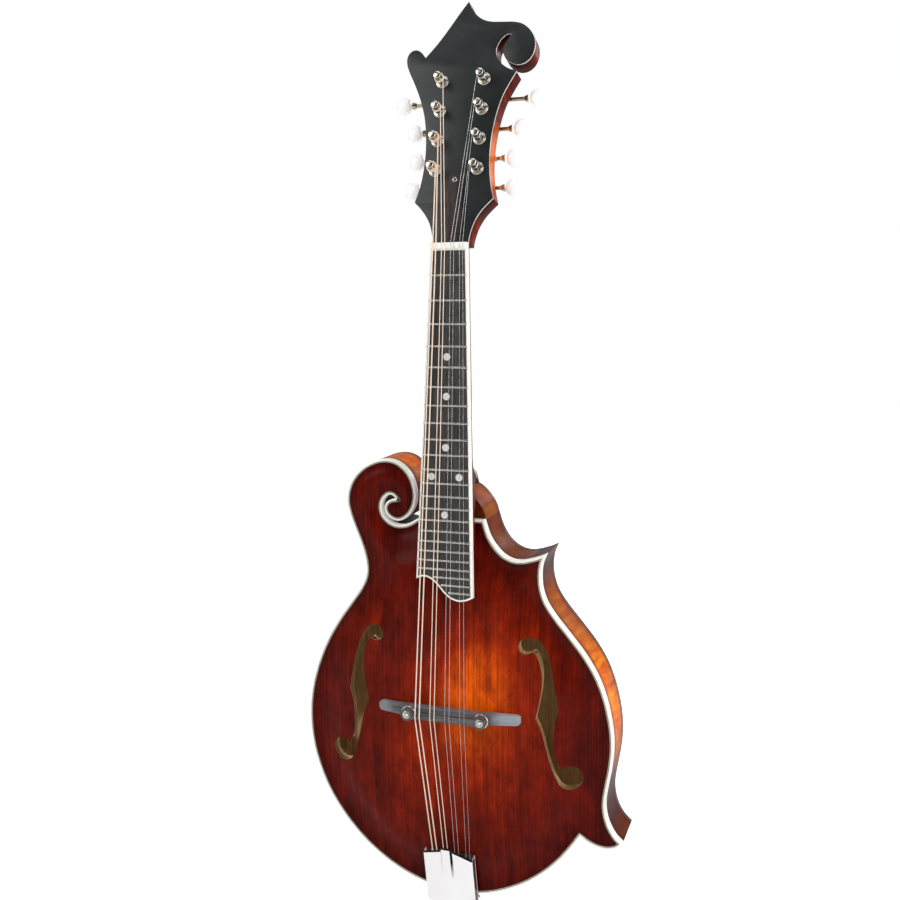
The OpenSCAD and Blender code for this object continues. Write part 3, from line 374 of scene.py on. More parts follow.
def lathe(profile, n=48, closed=False):
    """Turns (radius, distance) points round the -y axis. A point on the axis closes the end."""
    points, faces, rows = [], [], []
    for r, a in profile:
        if r < 1e-6:
            rows.append([len(points)])
            points.append((0, -a, 0))
        else:
            rows.append(list(range(len(points), len(points) + n)))
            points += [(r * math.cos(2 * math.pi * i / n), -a, r * math.sin(2 * math.pi * i / n))
                       for i in range(n)]
    pairs = list(zip(rows[:-1], rows[1:])) + ([(rows[-1], rows[0])] if closed else [])
    for here, ahead in pairs:
        for i in range(n):
            j = (i + 1) % n
            if len(here) == 1:
                faces.append((here[0], ahead[i], ahead[j]))
            elif len(ahead) == 1:
                faces.append((here[i], ahead[0], here[j]))
            else:
                faces.append((here[i], ahead[i], ahead[j], here[j]))
    return points, faces


def join(shapes):
    points, faces = [], []
    for part_points, part_faces, *_ in shapes:
        start = len(points)
        points += [tuple(p) for p in part_points]
        faces += [tuple(i + start for i in face) for face in part_faces]
    return points, faces


def placed(shape, place):
    return [tuple(place @ Vector(p)) for p in shape[0]], shape[1]


def tube(path, radius, n=10):
    """A round tube with a steady frame: points, faces and flow (length, turn, radius)."""
    path = np.array(path, float)
    along = tangents(path)
    normal = np.cross(along[0], np.array([0.3, -1.0, 0.1]))
    normal /= np.linalg.norm(normal)
    points, flow = [], []
    for centre, t, length in zip(path, along, lengths_along(path)):
        normal = normal - t * (normal @ t)
        normal /= max(np.linalg.norm(normal), 1e-9)
        side = np.cross(t, normal)
        for k in range(n):
            a = 2 * math.pi * k / n
            points.append(tuple(centre + radius * (math.cos(a) * normal + math.sin(a) * side)))
            flow.append((length * MM, k / n, radius * MM))
    return points, quads(len(path), n) + end_caps(len(path), n), flow


def loft(stations, section):
    """A solid through closed (y, z) sections, one at each x."""
    points = [(x, y, z) for x in stations for y, z in section(x)]
    n = len(points) // len(stations)
    return points, quads(len(stations), n) + end_caps(len(stations), n)


# ------------------------------------------------------------------ objects
def set_flow(mesh, flow):
    layer = mesh.attributes.new("flow", "FLOAT_VECTOR", "POINT")
    layer.data.foreach_set("vector", np.asarray(flow, np.float32).ravel())


def rework(mesh, merge=0.0, width=0.0, segments=2, angle=30):
    """Merges near points (metres), turns faces outwards and bevels (mm) edges past the angle."""
    bm = bmesh.new()
    bm.from_mesh(mesh)
    if merge:
        bmesh.ops.remove_doubles(bm, verts=bm.verts, dist=merge)
    bmesh.ops.recalc_face_normals(bm, faces=bm.faces)
    if width > 0:
        edges = [e for e in bm.edges
                 if len(e.link_faces) == 2 and e.calc_face_angle(0) > math.radians(angle)]
        bmesh.ops.bevel(bm, geom=edges, offset=width * MM, segments=segments, profile=0.5,
                        affect="EDGES", clamp_overlap=True)
    for face in bm.faces:
        face.smooth = True
    bm.to_mesh(mesh)
    bm.free()


def add_mesh(name, points, faces, mats, place=ROW_AT, idx=None, angle=35, flow=None, tone=None,
             normals=None, face_out=False):
    """An object from millimetre points in a local frame. angle marks sharp edges."""
    mesh = bpy.data.meshes.new(name)
    row_points = np.array([place @ Vector(p) for p in points], float) * MM
    mesh.from_pydata(row_points.tolist(), [], [tuple(int(i) for i in face) for face in faces])
    for mat in (mats if isinstance(mats, list) else [mats]):
        mesh.materials.append(mat)
    if idx is not None:
        mesh.polygons.foreach_set("material_index", np.asarray(idx, np.int32))
    mesh.polygons.foreach_set("use_smooth", np.full(len(mesh.polygons), True))
    if flow is not None:
        set_flow(mesh, flow)
    if tone is not None:
        layer = mesh.attributes.new("tone", "FLOAT_COLOR", "POINT")
        layer.data.foreach_set("color", np.asarray(tone, np.float32).ravel())
    mesh.update()
    if normals is not None:
        mesh.normals_split_custom_set_from_vertices([tuple(n) for n in normals])
    elif angle is not None:
        mesh.set_sharp_from_angle(angle=math.radians(angle))
    o = bpy.data.objects.new(name, mesh)
    SCENE.collection.objects.link(o)
    if face_out:
        rework(mesh)
    return o


def mark(o, slot, *nodes, body="root"):
    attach(o, body)
    if nodes:
        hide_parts(*nodes)


def add_piece(name, shape, mats, place, slot, *nodes, body="root", **mesh_settings):
    mark(add_mesh(name, *shape[:2], mats, place, **mesh_settings), slot, *nodes, body=body)


def add_solid(name, shape, mats, place, slot, *nodes, body="root", width=0.3, segments=2,
              angle=30, flow_of=None):
    """A hard-edged piece with its edges rounded over."""
    o = add_mesh(name, *shape, mats, place, angle=None)
    rework(o.data, merge=1e-7, width=width, segments=segments, angle=angle)
    o.data.set_sharp_from_angle(angle=math.radians(50))
    if flow_of:
        back = place.inverted()
        set_flow(o.data, [flow_of(back @ (v.co / MM)) for v in o.data.vertices])
    mark(o, slot, *nodes, body=body)


def add_prism(name, outline, front, back, *where, **settings):
    """An (x, z) outline standing from y = front to y = back."""
    shape = extruded([(p[0], front, p[1]) for p in outline],
                     [(p[0], back, p[1]) for p in outline])
    add_solid(name, shape, *where, **settings)


def add_block(name, x, y, z, *where, **settings):
    outline = [(x[0], z[0]), (x[1], z[0]), (x[1], z[1]), (x[0], z[1])]
    add_prism(name, outline, y[0], y[1], *where, **settings)


# ------------------------------------------------------------------ material tools
INPUTS = {
    "color": "Base Color", "rough": "Roughness", "metal": "Metallic", "coat": "Coat Weight",
    "coat_rough": "Coat Roughness", "spec": "Specular IOR Level", "sub": "Subsurface Weight",
    "sub_radius": "Subsurface Radius", "sub_scale": "Subsurface Scale",
    "sheen": "Sheen Weight", "glow_color": "Emission Color", "glow": "Emission Strength"}


def srgb(*channels):
    return (*[c / 255 / 12.92 if c / 255 <= 0.04045 else ((c / 255 + 0.055) / 1.055) ** 2.4
              for c in channels], 1.0)


class Nodes:
    """Short calls for building a node tree."""

    def __init__(self, tree):
        self.tree = tree
        self.object_coord = None

    def feed(self, socket, value):
        if isinstance(value, bpy.types.NodeSocket):
            self.tree.links.new(value, socket)
        else:
            socket.default_value = value

    def node(self, kind, **settings):
        node = self.tree.nodes.new(kind)
        for key, value in settings.items():
            setattr(node, key, value)
        return node

    def fed(self, kind, values, **settings):
        """A new node with its first inputs fed in order."""
        node = self.node(kind, **settings)
        for socket, value in zip(node.inputs, values):
            self.feed(socket, value)
        return node

    def coord(self):
        if self.object_coord is None:
            self.object_coord = self.node("ShaderNodeTexCoord").outputs["Object"]
        return self.object_coord

    def attr(self, name, out):
        return self.node("ShaderNodeAttribute", attribute_name=name).outputs[out]

    def noise(self, vector=None, stretch=None, scale=1.0, detail=4, rough=0.6, distortion=0.0):
        """Noise over the vector or the object; stretch scales the three axes apart."""
        if vector is None:
            vector = self.coord()
        if stretch:
            mapping = self.node("ShaderNodeMapping")
            self.feed(mapping.inputs["Vector"], vector)
            mapping.inputs["Scale"].default_value = stretch
            vector = mapping.outputs["Vector"]
        node = self.node("ShaderNodeTexNoise")
        for key, value in (("Vector", vector), ("Scale", scale), ("Detail", detail),
                           ("Roughness", rough), ("Distortion", distortion)):
            self.feed(node.inputs[key], value)
        return node.outputs["Fac"]

    def ramp(self, factor, *stops):
        """A colour ramp with (position, colour) stops."""
        node = self.node("ShaderNodeValToRGB")
        self.feed(node.inputs["Fac"], factor)
        elements = node.color_ramp.elements
        for i, (position, color) in enumerate(stops):
            element = elements[i] if i < 2 else elements.new(position)
            element.position = position
            element.color = color if len(color) == 4 else (*color, 1)
        return node.outputs["Color"]

    def span(self, value, source, to=(0.0, 1.0)):
        """Maps the source range to another, clamped."""
        node = self.node("ShaderNodeMapRange")
        self.feed(node.inputs["Value"], value)
        names = ("From Min", "From Max", "To Min", "To Max")
        for key, limit in zip(names, (*source, *to)):
            node.inputs[key].default_value = limit
        return node.outputs["Result"]

    def math(self, operation, a, b=0.0, clamp=False):
        node = self.fed("ShaderNodeMath", (a, b), operation=operation, use_clamp=clamp)
        return node.outputs["Value"]

    def mix(self, factor, a, b, kind="MIX"):
        node = self.node("ShaderNodeMix", data_type="RGBA", blend_type=kind)
        self.feed(node.inputs["Factor"], factor)
        self.feed(node.inputs[6], a)
        self.feed(node.inputs[7], b)
        return node.outputs[2]

    def tint(self, color, factor, *stops, amount=1.0):
        """The colour multiplied by a ramp."""
        return self.mix(amount, color, self.ramp(factor, *stops), "MULTIPLY")

    def split(self, vector):
        return self.fed("ShaderNodeSeparateXYZ", [vector]).outputs

    def combine(self, *xyz):
        return self.fed("ShaderNodeCombineXYZ", xyz).outputs[0]

    def mix_shader(self, factor, a, b):
        return self.fed("ShaderNodeMixShader", (factor, a, b)).outputs[0]


class Mat(Nodes):
    """A material's node tree round its Principled shader."""

    def __init__(self, material):
        super().__init__(material.node_tree)
        self.material = material
        self.shader = self.tree.nodes["Principled BSDF"]

    def set(self, **values):
        for key, value in values.items():
            self.feed(self.shader.inputs[INPUTS[key]], value)

    def bump(self, height, strength, distance):
        node = self.node("ShaderNodeBump")
        self.feed(node.inputs["Height"], height)
        node.inputs["Strength"].default_value = strength
        node.inputs["Distance"].default_value = distance
        self.feed(self.shader.inputs["Normal"], node.outputs["Normal"])

    def smudged(self, base, amount, scale=60):
        """Handling marks: a roughness that varies in soft smudges."""
        smudge = self.noise(scale=scale, detail=5, rough=0.62)
        return self.math("ADD", self.span(smudge, source=(0.35, 0.7), to=(0, amount)), base)


def new_mat(name):
    material = bpy.data.materials.new(name)
    material.use_nodes = True
    return Mat(material)


def two_tone(name, low, high, noise, rough, bump=None, **inputs):
    """Mottled between two colours. rough is a value, or the arguments of smudged."""
    m = new_mat(name)
    mottle = m.noise(**noise)
    if isinstance(rough, dict):
        rough = m.smudged(**rough)
    m.set(color=m.ramp(mottle, (0.3, low), (0.7, high)), rough=rough, **inputs)
    if bump:
        m.bump(mottle, **bump)
    return m


def recolour(material, change):
    """Puts one more step before the surface: change(m, colour) returns the new colour."""
    m = Mat(material)
    m.set(color=change(m, m.shader.inputs["Base Color"].links[0].from_socket))


# ------------------------------------------------------------------ woods
def spruce_burst():
    """Stained top: the burst comes from the tone attribute, the grain runs upright."""
    m = new_mat("spruce_burst")
    fine = m.noise(stretch=(880, 60, 7), detail=3, rough=0.5)
    broad = m.noise(stretch=(260, 30, 5))
    mottle = m.noise(stretch=(46, 30, 20), detail=5, rough=0.62, distortion=0.4)
    fleck = m.noise(stretch=(900, 300, 260), detail=2)
    blotch = m.noise(stretch=(120, 60, 62), distortion=0.3)
    color = m.tint(m.attr("tone", "Color"), fine,
                   (0.32, (0.66, 0.62, 0.6)), (0.68, (1.16, 1.18, 1.2)))
    color = m.tint(color, broad, (0.3, (0.74, 0.7, 0.68)), (0.7, (1.22, 1.26, 1.28)))
    color = m.tint(color, mottle, (0.32, (0.6, 0.56, 0.55)), (0.66, (1.28, 1.36, 1.4)))
    color = m.tint(color, fleck, (0.4, (0.93, 0.93, 0.93)), (0.66, (1.12, 1.1, 1.08)))
    color = m.tint(color, blotch, (0.36, (0.76, 0.70, 0.66)), (0.64, (1.16, 1.20, 1.20)))
    m.set(color=color, spec=0.05, rough=m.smudged(base=0.36, amount=0.12, scale=40),
          coat=0.075, coat_rough=m.smudged(base=0.08, amount=0.14, scale=55))
    relief = m.math("ADD", m.math("MULTIPLY", fine, 0.6), m.math("MULTIPLY", broad, 0.5))
    m.bump(relief, strength=0.10, distance=0.0003)
    return m.material


def flamed(name, light, mid, dark, edge, stripe=1.0, burst=1.0):
    """Flamed maple with soft bands across the grain. The flow attribute holds the length along
    the strip, the place across it from 0 to 1, and a tint: 0 edge colour, 1 light. stripe
    scales how close the bands are, burst how strong the edge colour is."""
    m = new_mat(name)
    flow = m.attr("flow", "Vector")
    along, across, lightness = m.split(flow)
    warp = m.noise(flow, stretch=(60, 1.4, 1), detail=3)
    wavy = m.math("ADD", along, m.math("MULTIPLY", warp, 0.012))
    wavy = m.math("ADD", wavy, m.math("MULTIPLY", across, 0.0035))

    def streaks(place, along_scale, across_scale, layer, **noise):
        return m.noise(m.combine(m.math("MULTIPLY", place, along_scale),
                                 m.math("MULTIPLY", across, across_scale), layer), **noise)

    band = streaks(wavy, 150 * stripe, 0.7, layer=0.0, detail=3, rough=0.55)
    fibre = streaks(along, 90, 46, layer=2.0)
    blotch = streaks(along, 22, 1.6, layer=5.0)
    color = m.ramp(band, (0.30, dark), (0.48, mid), (0.66, light))
    color = m.tint(color, fibre, (0.34, (0.78, 0.74, 0.7)), (0.66, (1.14, 1.16, 1.18)))
    color = m.tint(color, blotch, (0.32, (0.62, 0.56, 0.5)), (0.62, (1.16, 1.2, 1.2)),
                   amount=0.85)
    shade = m.math("MULTIPLY", m.math("SUBTRACT", 1.0, lightness, clamp=True), burst)
    color = m.mix(shade, color, edge)
    # both long edges are shaded darker
    off_middle = m.math("ABSOLUTE", m.math("SUBTRACT", across, 0.5))
    color = m.mix(m.span(off_middle, source=(0.30, 0.5), to=(0.0, 0.75)), color, edge)
    m.set(color=color, spec=0.035, rough=m.smudged(base=0.30, amount=0.10, scale=50),
          coat=0.06, coat_rough=m.smudged(base=0.06, amount=0.12, scale=70))
    m.bump(band, strength=0.05, distance=0.0004)
    return m.material


def head_warm_patch_and_painted_shade(m, color):
    """A warm patch on the treble side of the head, and painted shade: faces that look down are
    darkened.
    """
    x, _, z = m.split(m.coord())
    warm = m.math("MULTIPLY", m.span(z, source=(0.560, 0.574), to=(0.0, 0.72)),
                  m.span(z, source=(0.600, 0.618), to=(1.0, 0.0)))
    warm = m.math("MULTIPLY", warm, m.span(x, source=(0.0, 0.01)))
    color = m.mix(warm, color, srgb(236, 108, 14))
    # painted shade: faces turned downwards are mixed towards a dark maroon
    normal = m.split(m.node("ShaderNodeNewGeometry").outputs["Normal"])
    down = m.span(normal[2], source=(-0.62, -0.22), to=(0.86, 0.0))
    return m.mix(down, color, srgb(58, 14, 12))


def maple_back():
    """Two halves with slanting bands that meet at a dark seam."""
    m = new_mat("maple_back")
    x, _, z = m.split(m.coord())
    off_seam = m.math("ABSOLUTE", x)
    slant = m.math("SUBTRACT", z, m.math("MULTIPLY", off_seam, 0.32))
    warp = m.noise(stretch=(30, 10, 30), detail=3)
    slant = m.math("ADD", slant, m.math("MULTIPLY", warp, 0.016))
    band = m.noise(m.combine(m.math("MULTIPLY", off_seam, 9), 0.0,
                             m.math("MULTIPLY", slant, 150)), detail=3, rough=0.55)
    fibre = m.noise(stretch=(420, 60, 22))
    color = m.tint(m.attr("tone", "Color"), band, (0.34, (0.55, 0.46, 0.42)),
                   (0.52, (0.96, 0.94, 0.92)), (0.68, (1.34, 1.46, 1.5)))
    color = m.tint(color, fibre, (0.34, (0.8, 0.78, 0.76)), (0.66, (1.15, 1.17, 1.2)))
    seam = m.span(off_seam, source=(0.0, 0.00035), to=(0.55, 0.0))
    m.set(color=m.mix(seam, color, srgb(60, 16, 6)), spec=0.1,
          rough=m.smudged(base=0.26, amount=0.1, scale=40),
          coat=0.25, coat_rough=m.smudged(base=0.07, amount=0.12, scale=60))
    m.bump(band, strength=0.05, distance=0.0004)
    return m.material


def inner_wood():
    """Raw wood with a faint painted glow, and a stronger painted glow near the lower end of the
    bass sound hole, standing in for light falling in there.
    """
    m = new_mat("inner_wood")
    grain = m.noise(stretch=(500, 40, 14))
    color = m.ramp(grain, (0.3, srgb(176, 138, 88)), (0.7, srgb(214, 184, 132)))
    color = m.tint(color, m.noise(scale=40), (0.3, (0.82, 0.8, 0.78)), (0.7, (1.1, 1.1, 1.1)))
    x, _, z = m.split(m.coord())
    per_metre = 60      # one over the radius of the brighter patch
    off_x = m.math("MULTIPLY", m.math("ADD", x, 0.092), per_metre)
    off_z = m.math("MULTIPLY", m.math("SUBTRACT", z, 0.118), per_metre)
    squared = m.math("ADD", m.math("MULTIPLY", off_x, off_x), m.math("MULTIPLY", off_z, off_z))
    # painted light: the patch glows brighter than the rest of the inside
    near = m.math("SUBTRACT", 1.0, squared, clamp=True)
    m.set(color=color, spec=0.2, rough=0.7, glow_color=color,
          glow=m.math("ADD", 0.045, m.math("MULTIPLY", near, 0.40)))
    m.bump(grain, strength=0.25, distance=0.0002)
    return m.material


def ebony(name, base, light, rough=0.36, grain=(520, 200, 16)):
    """Dark wood with open pores; grain stretches its fibres."""
    m = new_mat(name)
    fibre = m.noise(stretch=grain, rough=0.62)
    cloud = m.noise(scale=70, detail=5)
    pores = m.noise(stretch=(1500, 700, 90), detail=2, rough=0.5)
    color = m.tint(m.ramp(fibre, (0.3, base), (0.7, light)), cloud,
                   (0.3, (0.8, 0.8, 0.8)), (0.72, (1.3, 1.28, 1.26)))
    color = m.mix(m.span(pores, source=(0.28, 0.36), to=(0.5, 0.0)), color, srgb(10, 9, 9))
    m.set(color=color, spec=0.4, rough=m.smudged(base=rough, amount=0.16, scale=55))
    relief = m.math("ADD", m.math("MULTIPLY", fibre, 0.5), m.span(pores, source=(0.28, 0.4)))
    m.bump(relief, strength=0.18, distance=0.00012)
    return m.material


def bridge_painted_end_highlight(m, color):
    """Painted highlight: the foot pales towards both ends, the treble end more."""
    treble = m.span(m.split(m.coord())[0], source=(0.034, 0.044), to=(0.0, 0.42))
    bass = m.span(m.split(m.coord())[0], source=(-0.052, -0.044), to=(0.22, 0.0))
    # painted highlight: both ends are mixed towards a pale cool grey
    return m.mix(m.math("MAXIMUM", treble, bass), color, srgb(196, 204, 212))


def head_black():
    m = new_mat("head_black")
    fine = m.noise(stretch=(300, 300, 40), detail=3)
    color = m.ramp(m.noise(scale=30), (0.3, srgb(26, 29, 30)), (0.7, srgb(36, 40, 41)))
    color = m.tint(color, fine, (0.3, (0.9, 0.9, 0.9)), (0.7, (1.1, 1.1, 1.1)))
    m.set(color=color, spec=0.35, rough=m.smudged(base=0.34, amount=0.14, scale=45),
          coat=0.15, coat_rough=0.2)
    m.bump(fine, strength=0.03, distance=0.0002)
    return m.material


SPRUCE = spruce_burst()
RIB = flamed("maple_ribs", light=srgb(255, 152, 0), mid=srgb(244, 118, 0),
             dark=srgb(204, 78, 2), edge=srgb(66, 12, 10))
NECK_MAPLE = flamed("maple_neck", light=srgb(196, 70, 14), mid=srgb(150, 44, 10),
                    dark=srgb(92, 22, 8), edge=srgb(44, 10, 8), stripe=1.1)
HEAD_MAPLE = flamed("maple_head", light=srgb(250, 112, 10), mid=srgb(176, 48, 12),
                    dark=srgb(96, 22, 10), edge=srgb(62, 14, 12), stripe=1.2)
recolour(HEAD_MAPLE, head_warm_patch_and_painted_shade)
BACK_MAPLE = maple_back()
RAW = inner_wood()
EBONY = ebony("ebony", base=srgb(44, 42, 41), light=srgb(78, 75, 73))
BRIDGE = ebony("bridge_ebony", base=srgb(70, 72, 76), light=srgb(126, 128, 132), rough=0.42,
               grain=(18, 260, 420))
SADDLE = ebony("saddle_ebony", base=srgb(56, 57, 60), light=srgb(108, 110, 113), rough=0.38,
               grain=(18, 260, 420))
recolour(BRIDGE, bridge_painted_end_highlight)
HEAD_BLACK = head_black()
COVER_WOOD = two_tone("cover_wood", srgb(30, 24, 23), srgb(64, 50, 46), spec=0.4,
                      noise={"stretch": (420, 200, 18)},
                      rough={"base": 0.32, "amount": 0.2, "scale": 80},
                      bump={"strength": 0.12, "distance": 0.00015}).material
EDGE_STAIN = two_tone("edge_stain", srgb(34, 10, 7), srgb(70, 20, 10), noise={"scale": 90},
                      rough={"base": 0.28, "amount": 0.1},
                      spec=0.35, coat=0.35, coat_rough=0.08).material
GLOSS = {"coat": 0.3, "coat_rough": 0.1}
LINE_BLACK = two_tone("purfling_black", srgb(14, 10, 9), srgb(34, 26, 22),
                      noise={"scale": 900, "detail": 3}, rough=0.3, **GLOSS).material
LINE_WHITE = two_tone("purfling_white", srgb(176, 160, 130), srgb(214, 204, 178),
                      noise={"scale": 700, "detail": 3}, rough=0.3, **GLOSS).material
HOLE_EDGE = two_tone("hole_edge", srgb(84, 60, 34), srgb(132, 102, 66),
                     noise={"stretch": (900, 900, 20), "detail": 3},
                     rough=0.5, spec=0.2).material
# pale rounded edge of the sound holes: partly bare wood where the finish is worn, partly a painted
# highlight along the edge
HOLE_LIP = two_tone("hole_lip", srgb(176, 120, 84), srgb(226, 190, 150),
                    noise={"scale": 240, "detail": 3}, rough=0.35, spec=0.4, **GLOSS).material


# ------------------------------------------------------------------ metals
def tarnished(m, light, tarnish, amount, scale, fine_scale, rough):
    """Blotches of tarnish over a finely varied polish, from rough[0] to rough[1].
    Sets roughness and bump, returns the colour."""
    fine = m.noise(scale=fine_scale)
    stain = m.span(m.noise(scale=scale, detail=5, rough=0.65), source=(0.46, 0.74),
                   to=(0.0, amount))
    m.set(rough=m.math("ADD", m.span(fine, source=(0.35, 0.75), to=rough),
                       m.math("MULTIPLY", stain, 0.25)))
    m.bump(fine, strength=0.03, distance=0.00005)
    return m.mix(stain, light, tarnish)


def metal(name, light, tarnish, rough, amount, scale=45):
    m = new_mat(name)
    m.set(metal=1.0, color=tarnished(m, light, tarnish, amount=amount, scale=scale,
                                     fine_scale=scale * 9, rough=(rough * 0.7, rough * 1.8)))
    return m.material


def chrome_cover():
    """Polished cover with painted reflections: two upright bands and the treble side wall are
    painted near black, and the rest has a faint painted glow.
    """
    m = new_mat("chrome_cover")
    x, _, z = m.split(m.coord())
    across = m.math("ADD", x, -COVER_X * MM)
    upper = m.span(z, source=(0.026, 0.042))
    treble = m.math("MULTIPLY", m.span(across, source=(0.0031, 0.0036)),
                    m.span(across, source=(0.0047, 0.0052), to=(1.0, 0.0)))
    bass = m.math("MULTIPLY", m.span(across, source=(-0.0049, -0.0044), to=(0.0, 0.62)),
                  m.span(across, source=(-0.0040, -0.0035), to=(1.0, 0.0)))
    painted_reflection_stripes = m.math("MULTIPLY", m.math("MAXIMUM", treble, bass), upper)
    # painted reflection: the treble side wall is darkened as if it mirrored a dark floor
    wall = m.span(across, source=(0.02025, 0.0205), to=(0.0, 0.9))
    dark = m.math("MAXIMUM", painted_reflection_stripes, wall)
    bright = tarnished(m, srgb(246, 246, 248), srgb(206, 202, 196), amount=0.10, scale=30,
                       fine_scale=300, rough=(0.03, 0.08))
    # painted glow: the bright parts of the cover give off light of their own
    glow = m.math("MULTIPLY", m.math("SUBTRACT", 1.0, dark, clamp=True), 0.26)
    m.set(metal=1.0, color=m.mix(dark, bright, srgb(16, 12, 12)),
          glow_color=(1, 1, 1, 1), glow=glow)
    return m.material


def wound(name, light, dark, turns_per_metre):
    """Wound string: fine turns of wire along the flow, with a faint painted glow."""
    m = new_mat(name)
    along, around, _ = m.split(m.attr("flow", "Vector"))
    phase = m.math("ADD", m.math("MULTIPLY", along, turns_per_metre * 2 * math.pi),
                   m.math("MULTIPLY", around, 2 * math.pi))
    turns = m.math("SINE", phase)
    dull = m.span(m.noise(scale=60), source=(0.4, 0.75), to=(0.0, 0.6))
    color = m.mix(m.span(turns, source=(-1.0, -0.3), to=(0.35, 0.0)),
                  m.mix(dull, light, dark), srgb(120, 80, 50))
    # painted glow: the string gives off a little light of its own
    m.set(color=color, rough=0.34, metal=0.55, glow_color=color, glow=0.16)
    m.bump(turns, strength=0.25, distance=0.00006)
    return m.material


NICKEL = metal("nickel", srgb(228, 222, 210), srgb(150, 128, 96), rough=0.13, amount=0.30)
STEEL = metal("steel", srgb(196, 196, 198), srgb(96, 84, 72), rough=0.2, amount=0.25)
FRET_WIRE = metal("fretwire", srgb(214, 212, 208), srgb(140, 124, 98), rough=0.2, amount=0.3,
                  scale=90)
BRASS = metal("brass_gear", srgb(214, 170, 92), srgb(120, 84, 40), rough=0.2, amount=0.4)
SHAFT = metal("key_shaft", srgb(208, 198, 172), srgb(122, 100, 64), rough=0.18, amount=0.45,
              scale=80)
CHROME = chrome_cover()
# painted reflection: the rolled lip gets a near-black metal colour as if it mirrored something
# dark
CHROME_LIP_PAINTED_DARK = metal("chrome_lip_painted_dark", srgb(58, 54, 52), srgb(20, 17, 16), rough=0.12, amount=0.5,
                   scale=120)
PLAIN = metal("plain_steel", srgb(216, 216, 220), srgb(150, 140, 130), rough=0.22,
              amount=0.25, scale=60)
WOUND_G = wound("bronze_wound_g", srgb(255, 238, 220), srgb(250, 214, 180),
                turns_per_metre=3800)
WOUND_D = wound("bronze_wound_d", srgb(255, 240, 224), srgb(250, 216, 186),
                turns_per_metre=5200)


# ------------------------------------------------------------------ pale and plain materials
def binding():
    """Cream binding, yellowed in places, with fine scratches and a faint painted glow that makes
    it look brighter.
    """
    m = new_mat("binding")
    scratch = m.noise(stretch=(700, 700, 700), detail=3)
    color = m.ramp(m.noise(scale=26), (0.3, srgb(244, 241, 230)), (0.7, srgb(254, 253, 248)))
    color = m.tint(color, scratch, (0.3, (0.95, 0.945, 0.93)), (0.7, (1.03, 1.03, 1.03)))
    # painted glow: the binding gives off a little light of its own
    m.set(color=color, glow_color=(1, 0.985, 0.95, 1), glow=0.10, spec=0.45,
          rough=m.smudged(base=0.22, amount=0.16, scale=90), sub=0.08,
          sub_radius=(0.002, 0.0016, 0.001), sub_scale=1.0, coat=0.2, coat_rough=0.1)
    m.bump(scratch, strength=0.05, distance=0.0001)
    return m.material


def pearl(name, low, mid, high, sub, scale, rough, glow):
    """Swirls of three pale colours; glow sets a painted glow of their own."""
    m = new_mat(name)
    swirl = m.noise(scale=scale, detail=3, distortion=2.5)
    drift = m.noise(stretch=(scale * 2.2, scale, scale * 0.6), distortion=3.0)
    color = m.mix(m.span(drift, source=(0.35, 0.7)),
                  m.ramp(swirl, (0.3, low), (0.52, mid), (0.7, high)), mid)
    m.set(color=color, spec=0.6, rough=m.smudged(base=rough, amount=0.14, scale=200),
          coat=0.8, coat_rough=0.04, sub=sub, sub_radius=(0.004, 0.004, 0.004),
          sub_scale=1.0, glow_color=(1, 0.99, 0.985, 1), glow=glow)
    m.bump(drift, strength=0.04, distance=0.0001)
    return m.material


def felt():
    m = two_tone("felt", srgb(14, 14, 14), srgb(46, 44, 44),
                 noise={"scale": 2600, "rough": 0.7}, rough=0.95, spec=0.1, sheen=0.4)
    nap = m.shader.inputs["Base Color"].links[0].from_node.inputs["Fac"].links[0].from_socket
    cells = m.node("ShaderNodeTexVoronoi", feature="F1")
    m.feed(cells.inputs["Vector"], m.coord())
    cells.inputs["Scale"].default_value = 1500
    m.bump(m.math("ADD", nap, cells.outputs["Distance"]), strength=0.6, distance=0.0003)
    return m.material


BINDING = binding()
# painted glow: the bone nut gives off a little light of its own
BONE = two_tone("bone", srgb(242, 238, 226), srgb(254, 252, 246),
                noise={"stretch": (60, 300, 300)}, glow_color=(1, 0.97, 0.9, 1), glow=0.14,
                spec=0.5, rough={"base": 0.22, "amount": 0.2, "scale": 160}, sub=0.12,
                sub_radius=(0.003, 0.002, 0.001), sub_scale=1.0).material
PEARL = pearl("pearl", srgb(204, 206, 200), srgb(242, 242, 238), srgb(222, 216, 224),
              sub=0.1, scale=420, rough=0.12, glow=0.0)
# painted glow: the key buttons give off light of their own, which washes out their shading
KEY_PEARL = pearl("key_pearl", srgb(240, 239, 238), srgb(254, 254, 253), srgb(247, 243, 244),
                  sub=0.35, scale=120, rough=0.16, glow=0.27)
DOT_BLACK = two_tone("black_dot", srgb(12, 12, 12), srgb(28, 28, 28),
                     noise={"scale": 900, "detail": 3}, rough=0.3).material
PLASTIC = two_tone("black_plastic", srgb(10, 10, 10), srgb(26, 26, 27), noise={"scale": 120},
                   spec=0.5, rough={"base": 0.16, "amount": 0.2, "scale": 120},
                   bump={"strength": 0.03, "distance": 0.0001}).material
FELT = felt()


# ------------------------------------------------------------------ stain of the plates
# Spots that warm or darken the top's colour: strength, centre x and z, reach in x and z, power of
# the fall-off.
WARM_SPOTS = [
    (0.86, 24, 178, 30, 38, 2.2), (0.46, -8, 146, 46, 42, 2.0), (0.30, 34, 120, 42, 50, 2.0),
    (0.24, 34, 224, 56, 40, 2.0), (0.16, -74, 232, 26, 44, 2.0), (0.13, -30, 70, 60, 40, 2.0)]
DARK_SPOTS = [
    (0.55, -6, 262, 18, 30, 2.0), (0.25, 92, 168, 14, 50, 2.0), (0.35, -88, 170, 10, 60, 2.0),
    (0.4, -40, 290, 14, 18, 2.0), (0.5, -2, 30, 34, 26, 2.0)]


